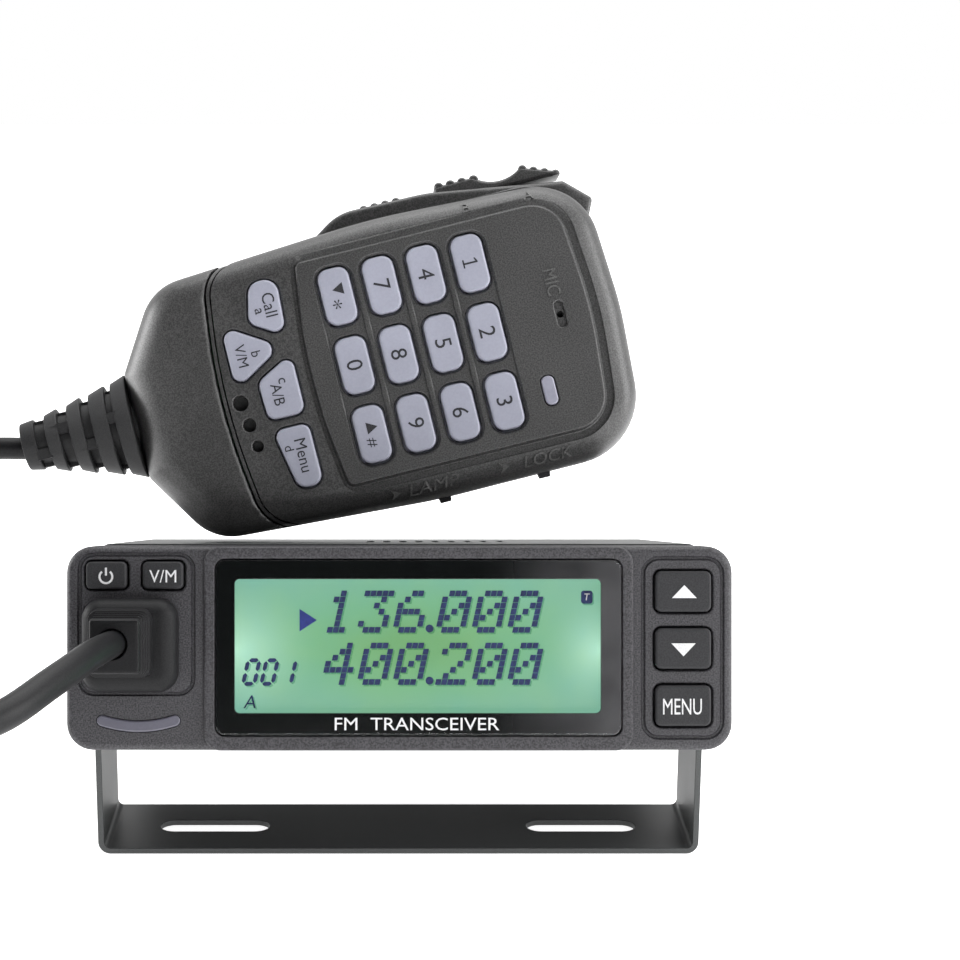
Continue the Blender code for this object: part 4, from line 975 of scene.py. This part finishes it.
def plug_boot():
    """A moulded boot: a soft square base, then a block whose sides step inwards in shallow ribs."""
    low, width, height = soft_edge(-5.8, 3.0, 6), 17.7, 17.2
    base = layers(box_corners(width, height, 3.6, PLUG_X + 1.0, PLUG_Z - 0.1), low + [(-0.6, 0)])
    boot = build("plug_boot_rubber", [base], RADIO)
    steps = [(-4.4, -0.6), (-6.0, 0), (-8.6, 0.1)]
    for k in range(4):
        y, inset = -8.8 - 1.7 * k, 0.15 + 0.26 * k
        steps += [(y, inset), (y - 0.2, inset + 0.42), (y - 0.55, inset + 0.42), (y - 0.75, inset + 0.26)]
    steps += [(-15.8, 1.3), (-16.1, 1.55), (-16.2, 2.0)]
    carve(boot, [layers(box_corners(11.6, 12.4, 1.9, PLUG_X - 0.3, PLUG_Z + 0.5), steps)], "UNION")
    carve(boot, [block((PLUG_X - 6.2, -4.5, PLUG_Z - 4.6), (PLUG_X + 6.2, OVER, PLUG_Z + 4.6))])
    bore = [(-18, 3.3), (-16.2, 2.9), (-15.6, 2.6), (-8.5, 2.5)]
    carve(boot, [drum(bore, CORD_X, CORD_Z, 32)])
    done(boot, "radio", "rubber", "plug_boot")


def cord_paths():
    """The cord's plain start, the line its coil winds round, and its plain end at the microphone."""
    tip = tuple(mic_point(*SWING))
    near = [(CORD_X, -9.5, CORD_Z), (CORD_X - 0.1, -17.0, CORD_Z), (-53.8, -27.5, 0.4), (-58.4, -40.5, -3.2),
            (-65.0, -52.5, -7.9), (-74.0, -58.5, -10.6), (-84.5, -56.5, -12.3)]
    coil = [(-93.5, -47.0, -12.6), (-99.5, -31.0, -11.8), (-102.5, -12.0, -9.0), (-103.5, 7.0, -2.5),
            (-102.5, 23.0, 8.5), (-99.5, 34.5, 22.5)]
    far = [(-95.0, 41.5, 33.0), (-88.5, tip[1], 38.0), (tip[0] - 4.5, tip[1], tip[2]), tip]
    spans = 8
    spine = curve_through(near + coil + far, spans)
    first, last = spans * len(near), spans * (len(near) + len(coil) - 1)
    return spine[:first], spine[first:last + 1], spine[last + 1:]


def coiled(spine, per_turn=20, ease=0.1):
    """A helix wound round a spine. Its radius grows from nothing and shrinks again at the two ends."""
    lengths = [0.0]
    for a, b in zip(spine, spine[1:]):
        lengths.append(lengths[-1] + (b - a).length)
    total = lengths[-1]
    turns = round(total / COIL_PITCH)
    count = turns * per_turn
    across, i = Vector((0, 0, 1)), 0
    points = []
    for k in range(count + 1):
        s = total * k / count
        while i < len(spine) - 2 and lengths[i + 1] < s:
            i += 1
        here = spine[i].lerp(spine[i + 1], (s - lengths[i]) / (lengths[i + 1] - lengths[i]))
        along = (spine[i + 1] - spine[i]).normalized()
        across = (across - along * across.dot(along)).normalized()
        other = along.cross(across)
        share = min(1.0, s / (total * ease), (total - s) / (total * ease))
        radius = COIL_R * share * share * (3 - 2 * share)
        a = 2 * pi * turns * k / count
        points.append(here + (across * cos(a) + other * sin(a)) * radius)
    return points


def cord():
    """The cord rides on the radio up to the end of its coil; its tail is built as a separate piece."""
    near, coil, far = cord_paths()
    main = near + coiled(coil) + far[:2]
    radii = [CORD_R] * len(main)
    for k in range(len(near)):
        radii[k] += CORD_SWELL * sin(pi * k / len(near))
    obj = build("cord_coiled", [swept(main, radii, 14)], RADIO)
    done(obj, "radio", "cord", "mic_cord")
    tail = far + [far[-1] + (far[-1] - far[-2]).normalized() * 2.0]
    obj = build("cord_tail", [swept(tail, [CORD_R - 0.01] * len(tail), 16)], RADIO)
    obj.data.materials.append(PAINTS["cord"])
    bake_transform(obj)


# Microphone

def digit_places():
    """Where each of the twelve number keys stands: three across, the first row above the frame's origin."""
    return {"mic_key_" + name: (PITCH_X * (i % 3 - 1), PITCH_Z * (1 - i // 3))
            for i, name in enumerate(DIGITS)}


def front_half(shrink=0.0):
    """The microphone's front half: a hollow form with a deeply rounded edge, drawn in by shrink."""
    outer = [(y + shrink, inset + shrink) for y, inset in SHOULDER] + [(MIC_SPLIT, shrink)]
    inner = [(MIC_SPLIT, MIC_WALL), (6.5, MIC_WALL + 0.2), (MIC_SKIN + 1.2, 3.8), (MIC_SKIN + 0.4, 5.6)]
    return layers(FRONT_BODY, outer + inner, 12)


def edge_channel(width, low, floor):
    """A cutter that runs round the raised keypad, down to z = low, and is floor deep."""
    rim = [(-OVER, -width), (floor - 0.35, -width), (floor - 0.15, 0.2 - width), (floor, 0.5 - width),
           (floor, -0.4), (floor - 0.1, -0.15), (floor - 0.3, 0.0), (-OVER, 0.0)]
    channel = build("helper", [layers(KEYPAD, rim, 10)], MIC, closed=True)
    carve(channel, [block((-40, -5, low), (40, 5, 40))], "INTERSECT")
    return channel


def face_cutters(through):
    """Cutters for the rows' troughs and the mouth slot, then for the number keys, the lamp and the mouth."""
    first = [layers(box_corners(41.1, 7.9, 3.0, 0, PITCH_Z * row), soft_mouth(0, 0.35, 0.56))
             for row in (1, 0, -1, -2)]
    first.append(layers(box_corners(5.2, 1.8, 0.85, *MOUTH), soft_mouth(0, 0.35, 0.9)))
    second = [layers(box_corners(KEY_W + 0.8, KEY_H + 0.8, KEY_R + 0.4, x, z), soft_mouth(0.6, 0.3, through))
              for x, z in digit_places().values()]
    x, z, width, height, radius = LAMP
    lamp = box_corners(width + 0.4, height + 0.4, radius + 0.2, x, z)
    second += [layers(lamp, soft_mouth(0, 0.25, through)), prism(circle(0.7, 16, *MOUTH), -OVER, through)]
    return first, second


def front_shell():
    """The keypad's shell down to the seam, with the openings for its keys, lamp, mouth and switches."""
    shell = build("microphone_front", [front_half()], MIC)
    carve(shell, [prism(rounded(SEAM, 0.85), -5, MIC_SPLIT + 5)], "INTERSECT")
    carve(shell, [layers(KEYPAD, soft_edge(0, 0.45) + [(1.4, 0)], 10)], "UNION")
    for width, low, floor in ((1.9, -24.68, 1.15), (1.0, -40.0, 1.21)):
        combine(shell, edge_channel(width, low, floor), "DIFFERENCE")
    through = MIC_SKIN + 2
    for cutters in face_cutters(through):
        carve(shell, cutters)
    for corners in SOFT_KEYS.values():
        mouth = [(y, inset - 0.3) for y, inset in soft_mouth(FACE_DROP, 0.35, through)]
        carve(shell, [layers(corners, mouth)])
    dimple = soft_mouth(FACE_DROP, 0.4, through)
    carve(shell, [drum([(y, radius - inset) for y, inset in dimple], x, z) for x, z, radius in SOUND_HOLES])
    carve(shell, [block((24, 8.9, z - 1.5), (33, 12.1, z + 1.9 + SLIDE_TRAVEL)) for z in SLIDE_Z.values()])
    carve(shell, [block((29.5, 8.4, z - 6.0), (33, 12.6, z + 8.4)) for z in SLIDE_Z.values()])
    done(shell, "microphone", "shell", "mic_front_shell")


def seam_bead():
    """The thin bead that shows between the front shell and the lower cap."""
    bead = build("seam_bead", [front_half(0.2)], MIC)
    carve(bead, [prism(rounded(SEAM, 0.55), -5, MIC_SPLIT + 5)])
    carve(bead, [prism(rounded(SEAM, -0.1), -5, MIC_SPLIT + 5)], "INTERSECT")
    done(bead, "microphone", "shell")


def lower_cap():
    """The cap below the curved seam. Its face falls away towards the strain relief."""
    cap = build("microphone_lower_cap", [front_half()], MIC)
    carve(cap, [prism(rounded(SEAM, -0.45), -5, MIC_SPLIT + 5)])
    carve(cap, [RELIEF_BORE])
    remesh = cap.modifiers.new("even_mesh", "REMESH")
    remesh.mode = "VOXEL"
    remesh.voxel_size = 0.42 * MM
    bake(cap)
    for v in cap.data.vertices:
        _, y, z = v.co / MM
        fall = max(0.0, (-45.5 - z) / 19.0)
        depth = max(0.0, 1 - y / MIC_SPLIT)
        v.co.y += 5.2 * fall ** 1.8 * depth * MM
    relax = cap.modifiers.new("relax", "SMOOTH")
    relax.iterations = 4
    bake(cap)
    shade(cap, 60)
    done(cap, "microphone", "shell", "mic_lower_cap")


def side_pod():
    """Rings of the pod that carries the talk bar."""
    outline = [(-27.2, -22.0, 1), (-32.3, -14.0, 11), (-32.0, 5.0, 40), (-30.1, 17.0, 60), (-27.6, 32.8, 1),
               (-22.7, 37.9, 1.0), (-18.7, 36.0, 1.0), (-17.7, 34.4, 0), (-26.0, 26.5, 0), (-26.0, -19.0, 0)]
    ends = [(14.1, 1.2), (14.2, 0.6), (14.5, 0.2), (14.9, 0), (26.2, 0), (26.7, 0.25), (27.0, 0.6)]
    return layers(outline, ends)


def back_shell():
    """The rear half with its side pod, the seat for a label and the seats of four screws."""
    inner = [(MIC_DEPTH - MIC_WALL, 5.0), (MIC_DEPTH - 6, MIC_WALL), (MIC_SPLIT + 0.3, MIC_WALL)]
    outer = [(MIC_SPLIT + 0.3, 0.25), (MIC_SPLIT + 0.6, 0), (MIC_DEPTH - 6, 0), (MIC_DEPTH - 4.2, 0.25),
             (MIC_DEPTH - 2.6, 0.95), (MIC_DEPTH - 1.3, 2.1), (MIC_DEPTH - 0.4, 3.6), (MIC_DEPTH, 5.2)]
    shell = build("microphone_back", [layers(BODY, inner + outer, 12)], MIC)
    carve(shell, [side_pod()], "UNION")
    room_for_bar = block((-36, 15.3, 6.2), (-28.0, 26.0, 33.1))
    carve(shell, [room_for_bar, drum([(21, 2.4), (30, 2.4)], MIC_MID, STUD_Z), RELIEF_BORE])
    grip = [(17, 0.6), (17.3, 0.95), (24.7, 0.95), (25, 0.6)]
    carve(shell, [drum(grip, -32.0, -8.5 + 2.3 * k, 20) for k in range(4)], "UNION")
    label = layers(box_corners(34, 26, 2.5, MIC_MID, -14), [(MIC_DEPTH - 0.35, 0), (MIC_DEPTH + OVER, 0)])
    seat = [(25.4, 2.3), (MIC_DEPTH - 0.3, 2.3), (MIC_DEPTH + OVER, 3.2)]
    carve(shell, [label] + [drum(seat, MIC_MID + x, z, 28) for x, z in SCREW_PLACES])
    done(shell, "microphone", "shell", "mic_back_shell")


def microphone_screws():
    head = [(25.2, 2.1), (26.4, 2.1), (26.8, 1.7), (26.9, 1.0)]
    for number, (across, z) in enumerate(SCREW_PLACES):
        x = MIC_MID + across
        made = build(f"microphone_screw_{number + 1}", [drum(head, x, z)], MIC)
        for u, w in ((0.25, 1.3), (1.3, 0.25)):
            carve(made, [block((x - u, 26.3, z - w), (x + u, 28, z + w))])
        done(made, "microphone", "screw")


def hanger_stud():
    profile = [(23.5, 2.0), (28.3, 2.0), (28.3, 4.2), (28.9, 4.2), (29.6, 3.4), (30.6, 3.4), (31.0, 5.5),
               (31.2, 5.8), (32.4, 5.8), (32.8, 5.5), (32.9, 5.0)]
    stud = build("hanger_stud_turned", [drum(profile, MIC_MID, STUD_Z, 40)], MIC)
    carve(stud, [block((MIC_MID - 3.2, 32.1, STUD_Z - 0.4), (MIC_MID + 3.2, 34, STUD_Z + 0.4))])
    done(stud, "microphone", "nickel", "hanger_stud")


def keys():
    face = [(y - KEY_PROUD, inset) for y, inset in soft_edge(0, 0.55, 5)]
    caps = {name: flanged_cap(x, z, (KEY_W, KEY_H), KEY_R, face, (1.5, 1.3), (2.6, 3.4))
            for name, (x, z) in digit_places().items()}
    for name, corners in SOFT_KEYS.items():
        caps[name] = layers(corners, face + [(2.6, 0), (2.6, -0.45), (3.4, -0.45)])
    for name, cap in caps.items():
        done(build(name + "_cap", [cap], MIC), name, "keycap", name)


def words(*items):
    """A function that writes words on keys, each given as text, x, z, height and width."""
    def draw(bm):
        for text, x, z, height, width in items:
            write(bm, text, x, z, -KEY_PROUD, height, width)
    return draw


def arrow_and_sign(name, height, sign):
    """A function that draws an arrow, downwards if its height is negative, and a sign beside it."""
    def draw(bm):
        x, z = digit_places()[name]
        mark(bm, triangle(x - 1.3, z + 0.35, 2.4, height), -KEY_PROUD)
        write(bm, sign, x + 1.65, z - 0.4, -KEY_PROUD, 1.9, 1.8)
    return draw


def figure_one(bm):
    """A figure one with a foot, which the typeface lacks."""
    x, z = digit_places()["mic_key_1"]
    mark(bm, box_points(x, z, 0.36, 3.0), -KEY_PROUD)
    mark(bm, box_points(x, z - 1.35, 1.7, 0.3), -KEY_PROUD)
    flag = [(x - 0.1, z + 1.5), (x - 0.85, z + 1.1), (x - 0.85, z + 0.8), (x - 0.1, z + 1.1)]
    mark(bm, flag, -KEY_PROUD)


def key_legends():
    legends = {name: words((name.rsplit("_", 1)[1], x, z, 3.25, None))
               for name, (x, z) in digit_places().items()}
    legends["mic_key_1"] = figure_one
    legends["mic_key_star"] = arrow_and_sign("mic_key_star", -2.2, "*")
    legends["mic_key_hash"] = arrow_and_sign("mic_key_hash", 2.2, "#")
    legends["mic_key_call"] = words(("Call", -15.8, -31.8, 2.5, 4.8), ("a", -15.0, -34.3, 1.4, None))
    legends["mic_key_memory"] = words(("b", -6.9, -36.8, 1.9, None), ("V/M", -7.2, -39.7, 2.1, 4.5))
    legends["mic_key_band"] = words(("c", -0.5, -33.1, 1.4, None), ("A/B", 2.0, -34.5, 2.2, 4.4))
    legends["mic_key_menu"] = words(("Menu", 15.0, -32.5, 2.3, 6.7), ("d", 13.0, -34.9, 1.8, None))
    for name, draw in legends.items():
        printed(name + "_legend", name, "ink", MIC, draw)


def shoulder_depth(x, z):
    """How far back the front shell's rounded edge lies at (x, z), beside the keypad."""
    right, left, taper = 29.3, 28.7, 2.0 * (z + 8.0) / 43.6
    inset = MIC_MID + right - x if x > 0 else x + left - taper
    for (y0, near), (y1, far) in zip(SHOULDER, SHOULDER[1:]):
        if far <= inset <= near:
            return y0 + (y1 - y0) * (near - inset) / (near - far)
    return FACE_DROP


def raised_words():
    """Lettering that stands proud of the microphone's face and right edge."""
    def face(bm):
        write(bm, "MIC", -6.6, 24.0, 0, 2.7, 5.3, 0, 0.22)

    def edge(bm):
        write(bm, "LOCK", 27.0, 15.0, 0, 2.3, 10.0, 90, 0.3, lean=0.2)
        write(bm, "LAMP", 27.0, -8.5, 0, 2.3, 10.5, 90, 0.3, lean=0.2)
        for z in (6.0, -16.5):
            mark(bm, [(25.9, z - 1.0), (27.0, z + 1.1), (28.1, z - 1.0), (27.0, z - 0.3)], 0, 0.3)
        write(bm, "A", -24.9, 23.7, 0, 1.9, 2.0, 90, 0.25)
        write(bm, "B", -25.4, 11.0, 0, 1.9, 1.6, 90, 0.25)
        for v in bm.verts:
            v.co.y += shoulder_depth(v.co.x / MM, v.co.z / MM) * MM

    printed("raised_mic_word", "microphone", "raised", MIC, face)
    printed("raised_edge_words", "microphone", "raised", MIC, edge)


def talk_bar():
    """The rocking bar: a thumb saddle between two rows of bumps."""
    outline = [(-29.3, 6.6, 0.4), (-32.9, 6.6, 0.6), (-33.0, 14.9, 0.8), (-29.3, 20.2, 8), (-32.6, 25.0, 0.8),
               (-30.0, 32.6, 0.4), (-29.3, 32.6, 0.3)]
    ends = [(15.7, 0.7), (15.85, 0.3), (16.2, 0), (25.0, 0), (25.35, 0.3), (25.5, 0.7)]
    bar = build("talk_bar_moulding", [layers(outline, ends)], MIC)
    bumps = [(-32.7 + 0.08 * k, 7.7 + 2.45 * k, 1.0) for k in range(4)]
    bumps += [(-32.15 + 0.85 * k, 25.4 + 2.15 * k, 0.9) for k in range(4)]
    for x, z, radius in bumps:
        bump = [(15.9, radius - 0.3), (16.2, radius), (25.0, radius), (25.3, radius - 0.3)]
        carve(bar, [drum(bump, x, z)], "UNION")
    carve(bar, [block((-29.3, 15, 5), (-27, 27, 34))])
    done(bar, "talk_bar", "shell", "ptt_bar")


def slide_switches():
    for name, z in SLIDE_Z.items():
        switch = build(name + "_slider", [block((25.3, 8.2, z - 2.6), (27.6, 12.7, z + 2.6))], MIC)
        knob = [[(x, y, z + 0.2 + w) for y, w in ((9.3, -half), (11.7, -half), (11.7, half), (9.3, half))]
                for x, half in ((26.4, 1.25), (29.2, 1.45), (31.0, 1.1))]
        carve(switch, [knob], "UNION")
        soften(switch, 0.15)
        done(switch, name, "button", name)


def relief_middle(z):
    share = (RELIEF_TOP - z) / (RELIEF_TOP - RELIEF_TIP)
    return RELIEF_X0 + (RELIEF_X1 - RELIEF_X0) * share


def relief_ring(z, width, depth):
    """One ring of the strain relief: an oval that is wide at the shell and nearly round at the tip."""
    return [(relief_middle(z) + u * width, RELIEF_Y + v * depth, z) for u, v in circle(1.0, 40)]


def relief_rings():
    """Rings of the five ribs and of the grooves between them."""
    soft = 0.35
    rings = [relief_ring(-60.5, 5.4, 5.4), relief_ring(RELIEF_TOP, 5.4, 5.4)]
    for number, (top, bottom, wide, narrow) in enumerate(RELIEF_RIBS):
        if number:
            rings.append(relief_ring(top, narrow - 0.6, narrow - 0.9))
        deep = 0.9 + 0.02 * number
        upper = ((top, wide - soft), (top - 0.1, wide - 0.1), (top - soft, wide))
        lower = ((bottom + soft, narrow), (bottom + 0.1, narrow - 0.1), (bottom, narrow - soft))
        rings += [relief_ring(z, across, across * deep) for z, across in upper + lower]
        if number < len(RELIEF_RIBS) - 1:
            groove = RELIEF_RIBS[number + 1][3]
            rings.append(relief_ring(bottom, groove - 0.6, groove - 0.9))
    return rings


def strain_relief():
    """A tapered rubber sleeve of five ribs, with two small webs across each groove."""
    relief = build("cord_strain_relief", [relief_rings()], MIC)
    for number, (above, below) in enumerate(zip(RELIEF_RIBS, RELIEF_RIBS[1:])):
        bottom, top = above[1] + 0.4, below[0] - 0.4
        x, reach = relief_middle(bottom), below[3] - 0.1
        middle = x + (2.2 if number % 2 else -2.2)
        for place, wide, deep in ((middle, 1.1, reach), (x, reach, 1.2)):
            web = block((place - wide, RELIEF_Y - deep, top), (place + wide, RELIEF_Y + deep, bottom))
            carve(relief, [web], "UNION")
    bore = [(-90.0, 2.75), (-86.0, 2.6), (-85.0, 2.4)]
    carve(relief, [turned(bore, "z", 32, (SWING[0], SWING[1], 0))])
    done(relief, "microphone", "relief", "strain_relief")


def lamp_lens():
    x, z, width, height, radius = LAMP
    cap = flanged_cap(x, z, (width, height), radius, soft_edge(-0.3, 0.35), (1.6, 1.4), (2.4, 3.2))
    done(build("microphone_lamp", [cap], MIC), "microphone", "lamp", "mic_light")


# Floor, light and camera

def floor():
    bm = bmesh.new()
    fill(bm, block((-2500, -2500, -4.0), (2500, 2500, 0.0)))
    obj = as_object("floor", bm, WORLD)
    paint, tree, shader, place = new_paint("pale_floor")
    cloud = node(tree, "TexNoise", [("Vector", place), ("Scale", 0.004)]).outputs[0]
    colour = ramp(tree, cloud, [(0.3, (0.90, 0.90, 0.90)), (0.7, (0.93, 0.93, 0.93))])
    seen = node(tree, "LightPath").outputs["Is Camera Ray"]
    lift = node(tree, "MapRange", [(0, seen), (3, 0.75), (4, 0.88)])
    feed(tree, shader, [("Base Color", colour), ("Roughness", 0.9), ("Specular IOR Level", 0.1),
                        ("Emission Strength", lift.outputs[0]), ("Emission Color", (1, 1, 1, 1))])
    obj.data.materials.append(paint)


def area_light(name, at, aim, size, power, colour=(1, 1, 1)):
    light = bpy.data.lights.new(name, "AREA")
    light.shape = "RECTANGLE"
    light.size, light.size_y = [side * MM for side in size]
    light.energy = power
    light.color = colour
    obj = bpy.data.objects.new(name, light)
    bpy.context.scene.collection.objects.link(obj)
    obj.location = Vector(at) * MM
    obj.rotation_euler = ((Vector(aim) - Vector(at))).to_track_quat("-Z", "Y").to_euler()
    obj.visible_camera = False


def surroundings():
    """White to the camera; as light it is bright overhead and dim in front, as in a light tent."""
    world = bpy.data.worlds.new("surroundings")
    world.use_nodes = True
    tree = world.node_tree
    ground = tree.nodes["Background"]
    place = node(tree, "TexCoord")
    facing = node(tree, "VectorMath", [(0, place.outputs["Generated"]), (1, SKY)], operation="DOT_PRODUCT")
    height = node(tree, "MapRange", [(0, facing.outputs["Value"]), (1, -1.0), (2, 1.0)])
    colour = ramp(tree, height.outputs[0], [(0.25, (0.03, 0.03, 0.031)), (0.42, (0.36, 0.36, 0.365)),
                                            (0.88, (1.05, 1.05, 1.05))])
    tree.links.new(colour, ground.inputs[0])
    seen = node(tree, "Background", [("Color", (1, 1, 1, 1)), ("Strength", 1.0)])
    path = node(tree, "LightPath")
    mixed = node(tree, "MixShader", [(0, path.outputs["Is Camera Ray"]), (1, ground.outputs[0]),
                                     (2, seen.outputs[0])])
    tree.links.new(mixed.outputs[0], tree.nodes["World Output"].inputs[0])
    bpy.context.scene.world = world


def studio():
    """Floor, surroundings, five softboxes and the camera."""
    floor()
    surroundings()
    area_light("top_softbox", (80, 150, 620), (0, 20, 30), (700, 500), 2.5)
    area_light("front_softbox", (420, -560, 420), (0, 0, 50), (400, 300), 1.1)
    area_light("low_softbox", (160, -420, 28), (20, 0, 60), (560, 44), 0.45)
    area_light("right_softbox", (520, -60, 220), (0, 20, 60), (300, 400), 1.8)
    area_light("left_softbox", (-480, 90, 130), (-60, 20, 60), (300, 260), 1.8)
    camera = bpy.data.cameras.new("camera")
    camera.lens = CAMERA_LENS
    camera.sensor_width = 36.0
    camera.shift_x, camera.shift_y = CAMERA_SHIFT
    camera.clip_start = 0.01
    obj = bpy.data.objects.new("camera", camera)
    bpy.context.scene.collection.objects.link(obj)
    across, back, up = [Vector(RADIO.col[i][:3]) for i in range(3)]
    obj.matrix_world = axes_at(across, up, -back, RADIO @ (Vector(CAMERA_AT) * MM))
    bpy.context.scene.camera = obj
    bpy.context.scene.view_settings.view_transform = "Standard"


def make_object():
    for make in (front_panel, window, display, buttons, top_cover, cover_screws, cad_shown_as_it_is,
                 radio_insides, microphone_insides, bracket, thumb_screws, antenna_socket, speaker_socket,
                 dc_lead, plug_boot, cord, front_shell, seam_bead, lower_cap, back_shell, microphone_screws,
                 hanger_stud, keys, key_legends, raised_words, talk_bar, slide_switches, strain_relief,
                 lamp_lens):
        make()


make_object()
studio()
